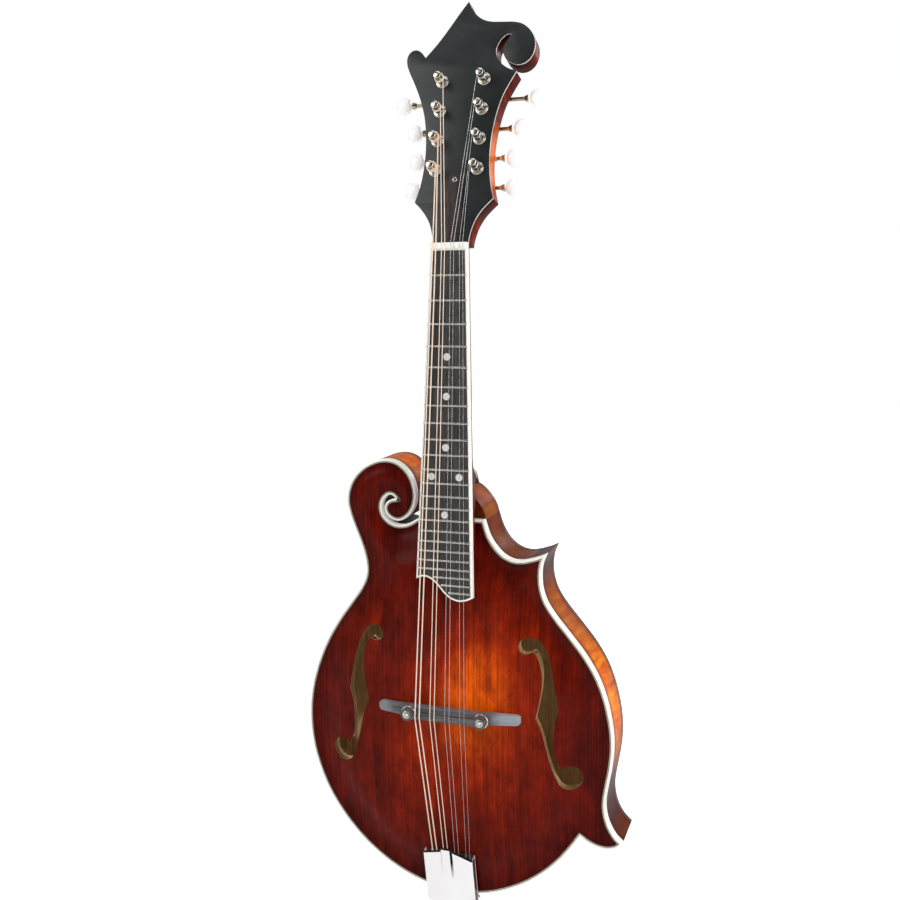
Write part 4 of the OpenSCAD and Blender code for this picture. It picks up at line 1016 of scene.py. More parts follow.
def spots(points, table):
    x, z = points[:, 0], points[:, 1]
    return sum(strength * np.exp(-(np.abs((x - cx) / rx) ** power
                                   + np.abs((z - cz) / rz) ** power))
               for strength, cx, cz, rx, rz, power in table)


def three_colours(t, *colours):
    a, b, c = [np.array(colour[:3]) for colour in colours]
    t = t[:, None]
    return np.where(t < 0.5, a + (b - a) * t * 2, b + (c - b) * (t - 0.5) * 2)


def with_alpha(colour):
    return np.concatenate([colour, np.ones((len(colour), 1))], 1)


def top_stain(points, edge):
    """A warm patch a little to the treble side of the middle, dark red towards the edge."""
    colour = three_colours(np.clip(spots(points, WARM_SPOTS), 0, 1.25),
                           srgb(98, 13, 4), srgb(166, 42, 2), srgb(230, 86, 1))
    colour = colour * (1 - 0.55 * np.clip(spots(points, DARK_SPOTS), 0, 1))[:, None]
    rim = np.exp(-np.maximum(edge - 2.9, 0) / 5.0)
    return with_alpha(colour * (1 - 0.42 * rim)[:, None])


def back_stain(points, edge):
    middle = spots(points, [(1.0, 0, 150, 66, 88, 2.4)])
    t = np.clip(middle * 1.1 + 0.12 * smooth(edge / 50), 0, 1)
    return with_alpha(three_colours(t, srgb(66, 14, 8), srgb(168, 50, 8), srgb(246, 134, 20)))


# ------------------------------------------------------------------ carved plates
GRID_STEP = 3.2
# Edges of the bands round the top, from the rim inwards: binding, black, white, black.
BANDS = [1.6, 2.0, 2.5, 2.9]


def in_holes(points, grow=0.0):
    found = np.zeros(len(points), bool)
    for shape in HOLES:
        found |= inside(points, shape)
        if grow:
            found |= line_distance(points, shape) < grow
    return found


def grid_points(step, keep):
    points = []
    for j, z in enumerate(np.arange(-4, 358, step * 0.87)):
        for x in np.arange(-134, 140, step):
            points.append((x + (step / 2 if j % 2 else 0), z))
    points = np.array(points)
    return points[keep(points)]


def triangulate(loops, extra):
    """Points, counter-clockwise triangles and their centres."""
    points, edges = [], []
    for loop in loops:
        start = len(points)
        points += [tuple(p) for p in loop]
        edges += [(start + i, start + (i + 1) % len(loop)) for i in range(len(loop))]
    points += [tuple(p) for p in extra]
    found, _, faces, _, _, _ = delaunay_2d_cdt([Vector(p) for p in points], edges, [], 0, 1e-4)
    points = np.array([(p.x, p.y) for p in found])
    triangles = []
    for a, b, c in faces:
        ab, ac = points[b] - points[a], points[c] - points[a]
        triangles.append((a, b, c) if ab[0] * ac[1] - ab[1] * ac[0] > 0 else (a, c, b))
    centres = np.array([points[list(t)].mean(0) for t in triangles])
    return points, triangles, centres


def sub_mesh(points, faces, pick):
    used = sorted({i for k in pick for i in faces[k]})
    number = {i: n for n, i in enumerate(used)}
    return points[used], [tuple(number[i] for i in faces[k]) for k in pick]


def boundary_edges(faces):
    seen = dict.fromkeys(edge for f in faces for edge in zip(f, f[1:] + f[:1]))
    return [(a, b) for a, b in seen if (b, a) not in seen]


def top_plan():
    """The top in plan: points, triangles and each triangle's band, -1 for waste."""
    loops = [OUTLINE] + [inset(OUTLINE, d) for d in [0.4, *BANDS]] + HOLES
    extra = [grid_points(GRID_STEP, lambda p: inside(p, OUTLINE)
                         & (line_distance(p, OUTLINE) > 4.4) & ~in_holes(p, 1.1))]
    for loop in [inset(OUTLINE, 3.9)] + [moved(shape, -0.8) for shape in HOLES]:
        loop = loop[inside(loop, OUTLINE) & ~in_holes(loop, 0.5)]
        if len(loop):
            extra.append(loop)
    points, faces, centres = triangulate(loops, np.concatenate(extra))
    band = np.digitize(line_distance(centres, OUTLINE), BANDS)
    band[~inside(centres, OUTLINE) | in_holes(centres)] = -1
    return points, faces, band


def make_top(plan, faces, band):
    """Both faces of the top, and walls round its rim and holes with their own points."""
    pick = [k for k in range(len(faces)) if band[k] >= 1]
    plan, faces = sub_mesh(plan, faces, pick)
    edge = line_distance(plan, OUTLINE)
    outer = outer_height(plan, TOP_CROWN, edge)
    inner = inner_height(plan, TOP_CROWN, TOP_DEPTH, edge)
    points = [(x, FRONT_Y - h, z) for heights in (outer, inner)
              for (x, z), h in zip(plan, heights)]
    n = len(plan)
    all_faces = list(faces) + [tuple(i + n for i in reversed(f)) for f in faces]
    slots = [{1: 1, 2: 2, 3: 1, 4: 0}[band[k]] for k in pick] + [3] * n_faces(faces)
    walls, wall_normals = [], []
    for a, b in boundary_edges(faces):
        t = plan[b] - plan[a]
        t = t / max(np.linalg.norm(t), 1e-9)
        out_x, out_z = t[1], -t[0]
        is_hole = edge[a] > 6
        undercut = -3.2 if is_hole else 0.0
        lip = 1.5 if is_hole else 0.1
        start = 2 * n + len(walls)
        slant = np.array([out_x, -1.0, out_z])
        slant = slant / np.linalg.norm(slant)
        for i in (a, b):
            (x, z), y = plan[i], FRONT_Y - outer[i]
            walls += [(x, y, z), (x, y + 0.5 * lip / 1.5, z), (x, y + lip, z),
                      (x + out_x * undercut, FRONT_Y - inner[i], z + out_z * undercut)]
            wall_normals += [tuple(slant)] + [(out_x, 0, out_z)] * 3
        all_faces += [(start + k, start + k + 1, start + k + 5, start + k + 4)
                      for k in range(3)]
        slots += [4, 5, 5]
    normals = np.concatenate([
        height_normals(plan, lambda p: outer_height(p, TOP_CROWN), -1.0),
        height_normals(plan, lambda p: -inner_height(p, TOP_CROWN, TOP_DEPTH), 1.0),
        np.array(wall_normals)])
    stain = top_stain(plan, edge)
    tone = np.concatenate([stain, stain, np.tile([0.05, 0.01, 0.005, 1.0], (len(walls), 1))])
    add_piece("top_plate_carved", (points + walls, all_faces),
              [SPRUCE, LINE_BLACK, LINE_WHITE, RAW, HOLE_LIP, HOLE_EDGE], BODY_AT,
              "spruce_top", "top_plate", idx=slots, normals=normals, tone=tone)


def n_faces(faces):
    return len(faces)


def make_binding_face(plan, faces, band):
    plan, faces = sub_mesh(plan, faces, [k for k in range(len(faces)) if band[k] == 0])
    points = [(x, FRONT_Y + (0.4 if e < 0.05 else 0.0), z)
              for (x, z), e in zip(plan, line_distance(plan, OUTLINE))]
    add_piece("top_binding_face", (points, faces), BINDING, BODY_AT,
              "binding", "top_binding", angle=None)


def add_edge_band(name, front, back, mat, slot, node):
    """A strip round the outline, broken at its corners."""
    points, faces = [], []
    for run in RUNS + [np.array([RUNS[-1][-1], RUNS[0][0]])]:
        faces += quads(len(run), 2, wrap=False, start=len(points))
        points += [(p[0], y, p[1]) for p in run for y in (front, back)]
    add_piece(name, (points, faces), mat, BODY_AT, slot, node, angle=None)


TOP_PLAN = top_plan()
make_top(*TOP_PLAN)
make_binding_face(*TOP_PLAN)
add_edge_band("top_binding_side", FRONT_Y + 0.4, RIB_FRONT, BINDING, "binding", "top_binding")


# ------------------------------------------------------------------ ribs
def rib_tint(point):
    """How light the ribs are coloured: lighter on the treble bout, darker near the corners and the
    waist.
    """
    def bump(centre, reach):
        return math.exp(-((z - centre) / reach) ** 2)

    x, z = point
    if x > 60:
        t = (0.10 + 1.05 * bump(172, 44) - 0.55 * bump(95, 16) - 0.2 * bump(276, 14)
             + 0.22 * bump(240, 24))
    elif z > 276 and x > 0:
        t = 0.16
    elif z > 300:
        t = 0.40 + (0.5 * math.exp(-((x + 46) / 12) ** 2) if z > 335 else 0)
    else:
        t = 0.35 + 0.6 * bump(130, 60)
    return min(1.0, max(0.0, t))


def add_rib(name, run, tint, node):
    """A bent rib along part of the outline, thinned out at both ends."""
    lengths = lengths_along(run)
    along = tangents(run)
    # distance inwards, y, place across the rib
    section = [
        (0, RIB_FRONT + 0.06, 0), (0, RIB_FRONT + 0.5, 0.02), (0, (RIB_FRONT + RIB_BACK) / 2, 0.5),
        (0, RIB_BACK - 0.5, 0.98), (0, RIB_BACK - 0.06, 1), (2.3, RIB_BACK, 1),
        (2.3, RIB_FRONT, 0)]
    points, flow = [], []
    for (x, z), (tx, tz), length in zip(run, along, lengths):
        full = min(1.0, 0.02 + min(length, lengths[-1] - length) / 9.0)
        for depth, y, across in section:
            points.append((x - tz * depth * full, y, z + tx * depth * full))
            flow.append((length * MM, across, tint((x, z))))
    n = len(section)
    slots = [0 if k < 4 else 1 for _ in range(len(run) - 1) for k in range(n)]
    add_piece(name, (points, quads(len(run), n)), [RIB, RAW], BODY_AT, "maple_ribs", node,
              idx=slots, flow=flow)


TAIL_POINT = SCROLL_TO_POINT.index((0, 0)) * RUN_STEPS
add_rib("rib_slot", RUNS[0], lambda point: 0.0, "rib_bass")
add_rib("rib_bass_bent", RUNS[1][:TAIL_POINT + 1], rib_tint, "rib_bass")
add_rib("rib_treble_lower", RUNS[1][TAIL_POINT:], rib_tint, "rib_treble")
add_rib("rib_treble_point", RUNS[2], lambda point: 0.15, "rib_treble")
add_rib("rib_treble_bent", RUNS[3], rib_tint, "rib_treble")
add_rib("rib_cutaway_bent", RUNS[4], rib_tint, "rib_cutaway")


# ------------------------------------------------------------------ back and heel
def make_back():
    loops = [OUTLINE, inset(OUTLINE, 0.5), inset(OUTLINE, 1.2)]
    extra = grid_points(GRID_STEP * 1.15, lambda p: inside(p, OUTLINE)
                        & (line_distance(p, OUTLINE) > 3.0))
    plan, faces, centres = triangulate(loops, extra)
    plan, faces = sub_mesh(plan, faces, np.nonzero(inside(centres, OUTLINE))[0])
    edge = line_distance(plan, OUTLINE)
    rounding = np.where(edge < 0.05, 1.2, np.where(edge < 0.55, 0.36, 0.0))
    outer = outer_height(plan, BACK_CROWN, edge, carve=False) - rounding
    inner = inner_height(plan, BACK_CROWN, BACK_DEPTH, edge)
    add_piece("back_plate_carved",
              ([(x, BACK_Y + h, z) for (x, z), h in zip(plan, outer)],
               [tuple(reversed(f)) for f in faces]),
              BACK_MAPLE, BODY_AT, "maple_back", "back_plate",
              angle=None, tone=back_stain(plan, edge))
    add_piece("back_plate_inside",
              ([(x, BACK_Y + h, z) for (x, z), h in zip(plan, inner)], faces),
              RAW, BODY_AT, "inner_wood", "back_plate", angle=None)
    add_edge_band("back_plate_edge", RIB_BACK, BACK_RIM, EDGE_STAIN, "maple_back", "back_plate")


# The shoulders carry the ribs' line on to the button of the back, under the heel.
SHOULDER = [
    (28.4, 298.6), (24.6, 309.7), (23.7, 313.5), (21.4, 318.4), (18.4, 322.8), (14.8, 326.8),
    (11.0, 330.0), (7.6, 331.6), (4, 332.4)]
SHOULDER_CURVE = [tuple(p) for p in curve(SHOULDER, 5)[5:-5] if p[1] >= 309.69]
BUTTON_ARC = half_round(6.8, 6.8, 336.3)


def make_button():
    outline = [(-24.6, BODY_END - 4), (24.6, BODY_END - 4)] + SHOULDER_CURVE + BUTTON_ARC
    add_prism("back_button", outline + mirrored(SHOULDER_CURVE), RIB_BACK, BACK_RIM,
              EDGE_STAIN, BODY_AT, "maple_back", "back_plate", width=0.0)
    cap = [(-6.9, 331.6), (6.9, 331.6)] + [(x * 1.015, z) for x, z in BUTTON_ARC]
    add_prism("heel_cap_edge", cap, RIB_BACK, BACK_Y - 3.9, BINDING, BODY_AT,
              "binding", "back_plate", width=0.1)


def make_shoulders():
    stations = SHOULDER_CURVE + [(0.0, 332.0)]
    # y, place across the rib
    section = [(RIB_FRONT + 0.06, 0.02), (FRONT_Y + 12, 0.2), (0.0, 0.5), (BACK_Y - 10, 0.8),
               (RIB_BACK - 0.06, 0.98)]
    points, flow = [], []
    for (x, z), length in zip(stations, lengths_along(stations)):
        for y, across in section:
            points.append((x, y, z))
            flow.append((length * MM + 0.4, across, 0.30))
    half = len(points)
    points += [(-x, y, z) for x, y, z in points]
    flow += [(a + 0.3, b, c) for a, b, c in flow]
    middle = len(points)
    points += [(0, section[0][0], BODY_END), (0, section[-1][0], BODY_END)]
    flow += [(0, 0, 0.2), (0, 1, 0.2)]
    rows, n = len(stations), len(section)
    faces = [f for side in (0, half) for f in quads(rows, n, wrap=False, start=side)]
    for side in (0, half):
        faces.append(tuple([middle] + [side + i * n for i in range(rows)]))
        faces.append(tuple([middle + 1] + [side + i * n + n - 1 for i in range(rows)]))
    add_piece("heel_shoulders", (points, faces), RIB, BODY_AT, "maple_ribs", "neck",
              flow=flow, angle=40, face_out=True)


make_back()
make_button()
make_shoulders()


# ------------------------------------------------------------------ neck
def neck_point(y, z):
    """A (y, z) of the neck frame in the body frame."""
    a = math.radians(-NECK_LEAN)
    return (NUT_Y + y * math.cos(a) - z * math.sin(a),
            NUT_Z + y * math.sin(a) + z * math.cos(a))


# Heel stations: y and z at the board, half width, y and z at the back of the section.
HEEL = [
    (-33.2, 351.0, 19.6, -13.2, 350.6), (-33.6, 343.0, 19.8, -10.6, 347.4),
    (-34.0, 332.0, 19.9, -8.0, 345.0), (-34.2, 320.0, 19.9, -5.2, 343.4),
    (-31.0, BODY_END, 19.2, -2.0, 342.4), (-22.0, BODY_END, 17.2, 1.4, 341.9),
    (-13.0, BODY_END, 14.4, 4.6, 341.9), (-4.0, BODY_END, 11.6, 8.0, 342.3),
    (5.0, BODY_END, 9.4, 11.4, 342.7), (12.0, BODY_END, 7.8, 14.6, 342.9),
    (17.0, BODY_END, 6.9, 17.0, 343.0)]


def make_neck_shaft():
    stations = []
    for down in (-14, -9, -4, 2, 10, 22, 40, 60, 80, 100, 120, 138, 150, 158):
        half = board_half(max(down, -8)) - 0.3
        front = BOARD_THICK
        if down <= 0:
            front = max(BOARD_THICK, 4.8 - down * math.tan(math.radians(HEAD_LEAN)))
        depth = half + (0.8 if down < 0 else 0.5 * math.exp(-((down - 2) / 14) ** 2))
        stations.append((*neck_point(front, -down), half,
                         *neck_point(BOARD_THICK + depth, -down)))
    sections = chain((stations + HEEL, 3))
    arc = 28
    n = arc + 1
    points, flow = [], []
    for (front_y, front_z, half, back_y, back_z), length in zip(
            sections, lengths_along(sections[:, 3:5])):
        for k in range(n):
            a = -math.pi / 2 + math.pi * k / arc
            sine, cosine = math.sin(a), math.cos(a)
            points.append((half * math.copysign(abs(sine) ** 0.94, sine),
                           front_y + (back_y - front_y) * cosine,
                           front_z + (back_z - front_z) * cosine))
            flow.append((length * MM, 0.5 + 0.32 * sine, 0.55 if 30 < length < 150 else 0.25))
    rows = len(sections)
    faces = quads(rows, n, wrap=False) + end_caps(rows, n)
    # flat side against the fretboard and the body
    faces += [(i * n + arc, i * n, (i + 1) * n, (i + 1) * n + arc) for i in range(rows - 1)]
    add_piece("neck_shaft", (points, faces), NECK_MAPLE, BODY_AT, "maple_neck", "neck",
              flow=flow, angle=60, face_out=True)


def make_neck_wedge():
    """Carries the end of the fretboard over the top."""
    levels = np.linspace(BODY_END + 0.4, 276, 12)
    heights = outer_height(np.array([[0, z] for z in levels]), TOP_CROWN)
    points, flow = [], []
    for x in (-17.5, 17.5):
        for z, height in zip(levels, heights):
            board = (neck_point(BOARD_THICK, 0)[0]
                     + (NUT_Z - z) * -math.tan(math.radians(NECK_LEAN)))
            points += [(x, board - 0.05, z), (x, FRONT_Y - height + 0.3, z)]
            flow += [(z * MM, 0.3, 0.6), (z * MM, 0.7, 0.6)]
    n = len(levels)
    faces = quads(n, 2, wrap=False) + quads(n, 2, wrap=False, start=2 * n)
    faces += [(0, 2 * n, 2 * n + 1, 1), (2 * n - 2, 2 * n - 1, 4 * n - 1, 4 * n - 2)]
    faces += [(2 * i, 2 * i + 2, 2 * n + 2 * i + 2, 2 * n + 2 * i) for i in range(n - 1)]
    add_piece("neck_wedge", (points, faces), NECK_MAPLE, BODY_AT, "maple_neck", "neck",
              flow=flow, angle=30, face_out=True)


make_neck_shaft()
make_neck_wedge()


# ------------------------------------------------------------------ headstock
def head_flow(point):
    """Lighter on the treble side between two heights, darker elsewhere."""
    light = point.x > 8 and 40 < point.z < 84
    return point.z * MM, (point.y - 1.0) / 15.0, 0.95 if light else 0.25


# Layers from the wood to the face: name, front y, back y, material, slot, node, bevel, segments.
WOOD_FRONT = 2.0
for name, front, back, mat, slot, node, width, segments in (
        ("headstock_wood", WOOD_FRONT, WOOD_FRONT + HEAD_THICK, HEAD_MAPLE, "maple_neck",
         "neck", 0.9, 3),
        ("headplate_face", 0.0, 0.75, HEAD_BLACK, "head_black", "headplate", 0.3, 3),
        ("headplate_white_line", 0.75, 1.55, BINDING, "binding", "headplate", 0.0, 2),
        ("headplate_black_line", 1.55, WOOD_FRONT, HEAD_BLACK, "head_black", "headplate",
         0.0, 2)):
    add_prism(name, HEAD, front, back, mat, HEAD_AT, slot, node, width=width,
              segments=segments, angle=35, flow_of=head_flow)


def make_truss_cover():
    """Cover over the truss rod and its cross-slotted screw."""
    side = [(7.9, 12), (7.5, 18), (7.2, 26), (7.2, 34), (7.3, 46)]
    outline = ([(-8.6, 5.4), (8.6, 5.4)] + side + half_round(7.4, 7.6, 50.6)
               + mirrored(side))
    face = -1.6
    add_prism("truss_cover", outline, face, -0.02, COVER_WOOD, HEAD_AT,
              "cover_wood", "truss_rod_cover", width=0.45, segments=3)
    screw_at = HEAD_AT @ shift(0, face, 53.4)
    screw = [(0.0, -1.2), (2.0, -1.2), (2.05, -0.1), (1.75, 0.35), (1.1, 0.62), (0.0, 0.7)]
    add_piece("truss_screw_head", lathe(screw, 32), STEEL, screw_at,
              "steel", "truss_cover_screw")
    for k, angle in enumerate((20, 110)):
        add_block("truss_screw_slot_%d" % k, (-1.3, 1.3), (-0.74, -0.3), (-0.22, 0.22),
                  LINE_BLACK, screw_at @ turn(angle, "Y"), "steel", width=0.03)


make_truss_cover()

# ------------------------------------------------------------------ fretboard
# Lower end of the board as (x, distance below the nut), from bass to treble.
BOARD_END = [
    (-22.4, 250), (-19, 248.4), (-15, 248), (-10, 249.8), (-4.8, 254.2), (0.2, 259.6),
    (5.6, 263.6), (11.8, 265.3), (17.4, 264.6), (22.9, 262.2)]
# Where the last, short frets start; the others run the whole width.
SHORT_FRETS = {21: -9.2, 22: -2.2, 23: 3.6}


def make_board():
    n = 24
    (bass_x, bass_end), (treble_x, treble_end) = BOARD_END[0], BOARD_END[-1]
    outline = [(-(NUT_HALF + (-bass_x - NUT_HALF) * i / n), -bass_end * i / n)
               for i in range(n)]
    outline += [(p[0], -p[1]) for p in chain((BOARD_END, 5))]
    outline += [(NUT_HALF + (treble_x - NUT_HALF) * i / n, -treble_end * i / n)
                for i in range(n - 1, -1, -1)]
    outline = np.array(outline)
    ebony_outline = moved(outline, 1.4)
    add_prism("fretboard_ebony", ebony_outline, 0.0, BOARD_THICK, EBONY, NECK_AT,
              "ebony", "fretboard", width=0.0)
    rows = [(ebony_outline, 0), (moved(outline, 0.35), 0), (outline, 0.35),
            (outline, BOARD_THICK)]
    points = [(p[0], y, p[1]) for loop, y in rows for p in loop]
    n = len(outline)
    faces = []
    for i in range(n):
        j = (i + 1) % n
        faces += [(r * n + i, r * n + j, (r + 1) * n + j, (r + 1) * n + i) for r in range(3)]
    add_piece("fretboard_edge", (points, faces), BINDING, NECK_AT,
              "binding", "fretboard_binding", angle=40, face_out=True)


def fret(number):
    """A rounded crown that tapers off at both ends."""
    half_width, height, arc = 0.85, 0.84, 10
    down = fret_at(number)
    right = board_half(down) - 0.55
    left = SHORT_FRETS.get(number, -right)
    stations = [left, left + 0.25, left + 0.7, *np.linspace(left + 1.2, right - 1.2, 4),
                right - 0.7, right - 0.25, right]
    points = []
    for i, x in enumerate(stations):
        full = [0.25, 0.68, 0.93, 1][min(i, len(stations) - 1 - i, 3)]
        for k in range(arc + 1):
            a = math.pi * k / arc
            points.append((x, -height * full * math.sin(a) ** 0.85,
                           -down + half_width * math.cos(a)))
    rows, n = len(stations), arc + 1
    return points, quads(rows, n, wrap=False) + end_caps(rows, n)


def make_dots():
    dot = lathe([(0.0, 0.10), (1.6, 0.10), (2.6, 0.07), (2.8, 0.01), (2.8, -0.3)], 32)
    spots_at = [(0, k) for k in (5, 7, 10, 15)] + [(-11, 12), (11, 12)]
    add_piece("fretboard_dots", join([placed(dot, shift(x, 0, -between_frets(k)))
                                      for x, k in spots_at]),
              PEARL, NECK_AT, "pearl", "position_dots")
    dot = lathe([(0.0, 0.06), (0.9, 0.05), (1.0, -0.3)], 20)
    downs = [between_frets(k) for k in (5, 7, 10, 12, 15)]
    add_piece("fretboard_side_dots",
              join([placed(dot, shift(-board_half(d), 2.4, -d) @ turn(-90, "Z"))
                    for d in downs]),
              DOT_BLACK, NECK_AT, "black_dot", "side_dots")


def pair_x(i, spread, gap):
    """x of string i in four evenly spread pairs."""
    width = spread - gap
    return -width / 2 + i // 2 * width / 3 + (-gap / 2 if i % 2 == 0 else gap / 2)


def tail_x(i):
    return pair_x(i, spread=30, gap=3.4) - 1.6


def saddle_x(i):
    return pair_x(i, spread=39.8, gap=3.5) - 1.4


def nut_x(i):
    return pair_x(i, spread=23.4, gap=2.5)


SLOT_FLOOR = -1.56      # y of the bottom of the nut's slots


def make_nut():
    """Nut with eight slots; its upper edge rolls over a little."""
    top, bottom = -2.05, 4.98
    profile = [(-NUT_HALF, bottom), (-NUT_HALF, -1.2), (-NUT_HALF + 0.5, -1.9)]
    for i in range(8):
        x, r = nut_x(i), STRING_R[i // 2] + 0.06
        side = -1.55 - r * 0.6
        profile += [(x - r - 0.05, top), (x - r, side), (x - r * 0.6, SLOT_FLOOR),
                    (x + r * 0.6, SLOT_FLOOR), (x + r, side), (x + r + 0.05, top)]
    profile += [(NUT_HALF - 0.5, -1.9), (NUT_HALF, -1.2), (NUT_HALF, bottom)]
    shape = extruded([(x, y, 0.02) for x, y in profile],
                     [(x, y if y > -1.3 else y + 0.12, 4.32) for x, y in profile])
    add_solid("nut_bone", shape, BONE, NECK_AT, "bone", "nut", width=0.12, segments=1, angle=50)


make_board()
add_piece("fret_crowns", join([fret(k) for k in range(1, 24)]), FRET_WIRE, NECK_AT,
          "fretwire", "frets", angle=50, face_out=True)
make_dots()
make_nut()

# ------------------------------------------------------------------ bridge
# (distance from the middle, y) of the foot's front edge
FOOT_FRONT = [(0, -44.6), (36.5, -44.6), (41.5, -43.6), (55, -40.5), (57, -39.7), (58, -38.6)]
SADDLE_FRONT = [
    (0, SADDLE_TOP), (20.5, SADDLE_TOP), (22.6, SADDLE_TOP + 0.15), (24.6, -54.3),
    (27, -53.15), (34, -52.7)]
SADDLE_UNDER = [
    (0, -50.2), (6, -50.1), (12, -49.7), (18, -48.8), (22, -48.3), (25, -49.2), (34, -49.2)]
# (x, offset in z) of the stepped crest the strings rest on
CREST = [
    (-20.2, -0.7), (-15.3, -0.7), (-15.1, 0.6), (-8.3, 0.6), (-8.1, -0.4), (0.0, -0.4),
    (0.2, 0.8), (6.8, 0.8), (7.0, -0.5), (14.0, -0.5), (14.2, 0.4), (20.2, 0.4)]
EAR_R = 5.2


def top_y(x, z, gap):
    return (FRONT_Y - outer_height(np.array([[x, z]]), TOP_CROWN, carve=False)[0]) - gap


def foot_section(x):
    a = abs(x)
    half = 4.0 * (1 if a < 55 else max(0.55, math.sqrt(max(0, 1 - ((a - 55) / 3.4) ** 2))))
    front, r, z = look_up(FOOT_FRONT, a), 0.8, BRIDGE_Z
    fitted = [(top_y(x, z + dz, 0.3 if abs(dz) < half else 0.2), z + dz)
              for dz in (half, half * 0.5, 0, -half * 0.5, -half)]
    return fitted + [
        (front + r, z - half), (front + 0.25, z - half + 0.3), (front, z - half + r),
        (front, z + half - r), (front + 0.25, z + half - 0.3), (front + r, z + half)]


def saddle_section(x):
    """A bar with a narrow stepped crest, ending in a round ear at each stud."""
    a = abs(x)
    front, under = look_up(SADDLE_FRONT, a), look_up(SADDLE_UNDER, a)
    ear = EAR_R ** 2 - (a - STUD_X) ** 2
    half = math.sqrt(max(0.02, ear)) if a > STUD_X else max(2.6, math.sqrt(max(0.0, ear)))
    crest = look_up([(0, 0.8), (21.5, 0.8), (24.6, 2.3)], a) if a <= 24.6 else half * 0.93
    middle = BRIDGE_Z + (look_up(CREST, x) if a < 21.4 else 0.0)
    slope, z = front + (1.9 if a < 24 else 0.5), BRIDGE_Z
    return [(under, z + half - 0.3), (under, z - half + 0.3), (under - 0.3, z - half),
            (slope, z - half), (front + 0.25, middle - crest), (front, middle - crest + 0.3),
            (front, middle + crest - 0.3), (front + 0.25, middle + crest),
            (slope, z + half), (under - 0.3, z + half)]


def make_bridge():
    ends = [s * x for s in (-1, 1) for x in (58, 57.4, 56.5, 55, 41.5, 36.5)]
    stations = sorted(set(ends + list(np.linspace(-52, 52, 53))))
    add_piece("bridge_foot", loft(stations, foot_section), BRIDGE, BODY_AT,
              "bridge_ebony", "bridge_base", angle=32, face_out=True)
    ear_turns = (-88, -75, -60, -45, -30, -15, 0, 15, 30, 45, 60, 72, 82, 88)
    ears = [side * (STUD_X + EAR_R * math.sin(math.radians(t)))
            for side in (-1, 1) for t in ear_turns]
    stations = sorted(set(ears + list(np.linspace(-24.2, 24.2, 61))
                          + [x for x, _ in CREST[1:-1]]))
    add_piece("bridge_top", loft(stations, saddle_section), SADDLE, BODY_AT,
              "bridge_ebony", "bridge_saddle", body="saddle", angle=32, face_out=True)


def stud_profile():
    """Threaded stud with a dished end."""
    profile = [(0.0, 39.6), (1.5, 39.6)]
    thread = 39.8
    while thread < 53.6:
        profile += [(1.62, thread), (1.86, thread + 0.3)]
        thread += 0.6
    return profile + [(1.8, 54.0), (1.5, 54.35), (0.95, 54.4), (0.9, 54.0), (0.0, 53.95)]


def knurled_wheel():
    n = 144
    profile = [(1.98, 47.02), (4.6, 47.02), (5.75, 47.12), (6.0, 47.4), (6.0, 48.8),
               (5.75, 49.08), (4.6, 49.18), (1.98, 49.18)]
    points = []
    for i in range(n):
        a = 2 * math.pi * i / n
        for k, (r, y) in enumerate(profile):
            if i % 4 in (0, 1) and 2 <= k <= 5:
                r -= 0.28
            points.append((r * math.cos(a), -y, r * math.sin(a)))
    return points, quads(n, len(profile), ring=True)


make_bridge()
for side, name in ((-1, "bass"), (1, "treble")):
    stud_at = BODY_AT @ shift(side * STUD_X, 0, BRIDGE_Z)
    add_piece("stud_" + name, lathe(stud_profile(), 28), NICKEL, stud_at,
              "nickel", "bridge_studs", angle=25)
    # ring let into the saddle's ear
    ring = [(2.0, 52.6), (3.1, 52.6), (3.15, 53.05), (2.9, 53.2), (2.3, 53.2), (2.05, 53.05)]
    add_piece("saddle_ring_" + name, lathe(ring, 36, closed=True), NICKEL, stud_at,
              "nickel", body="saddle", angle=40)
    add_piece("wheel_" + name + "_knurled", knurled_wheel(), NICKEL, stud_at,
              "nickel", "thumbwheel_" + name, body="wheel_" + name, angle=30, face_out=True)

# ------------------------------------------------------------------ tailpiece
# Treble half of the cover's cross-section as (x, y), from the side up to the middle.
COVER_HALF = [
    (20.6, -3.2), (20.6, -7.6), (20.45, -8.2), (20.05, -8.62), (19.5, -8.86), (16, -9.27),
    (12, -9.75), (8, -10.25), (5.6, -10.52), (4.9, -10.72), (4.35, -11.15), (3.85, -11.75),
    (3.3, -12.2), (2.4, -12.5), (1.2, -12.72), (0, -12.8)]
COVER_SECTION = np.array(COVER_HALF + mirrored(COVER_HALF[:-1]))
# (x, z) of the cover's upper lip
COVER_LIP = [
    (-20.6, 43.2), (-5.4, 48.0), (-4.5, 49.8), (-3.2, 51.9), (-2.4, 52.3), (2.0, 52.3),
    (3.0, 51.8), (4.2, 50.2), (5.4, 48.3), (20.6, 40.8)]
# (z, how far the sheet has rolled in) at the lower end
COVER_ROLL = [(-4.4, 1.5), (-4.32, 1.0), (-4.05, 0.55), (-3.6, 0.25), (-3.0, 0.08), (-2.2, 0.0)]
COVER_LOW = COVER_ROLL[0][0]
COVER_THICK = 0.9


def cover_points(section, lift):
    """Rows of points up the cover; lift raises the rolled rows."""
    points = []
    for x, y in section:
        for z, roll in COVER_ROLL:
            points.append((x * (1 - 0.012 * roll), y + (roll if abs(x) < 20 else 0), z + lift))
        for t in np.linspace(0, 1, 14):
            points.append((x, y, -1.6 + (look_up(COVER_LIP, x) + 1.6) * t))
    return points


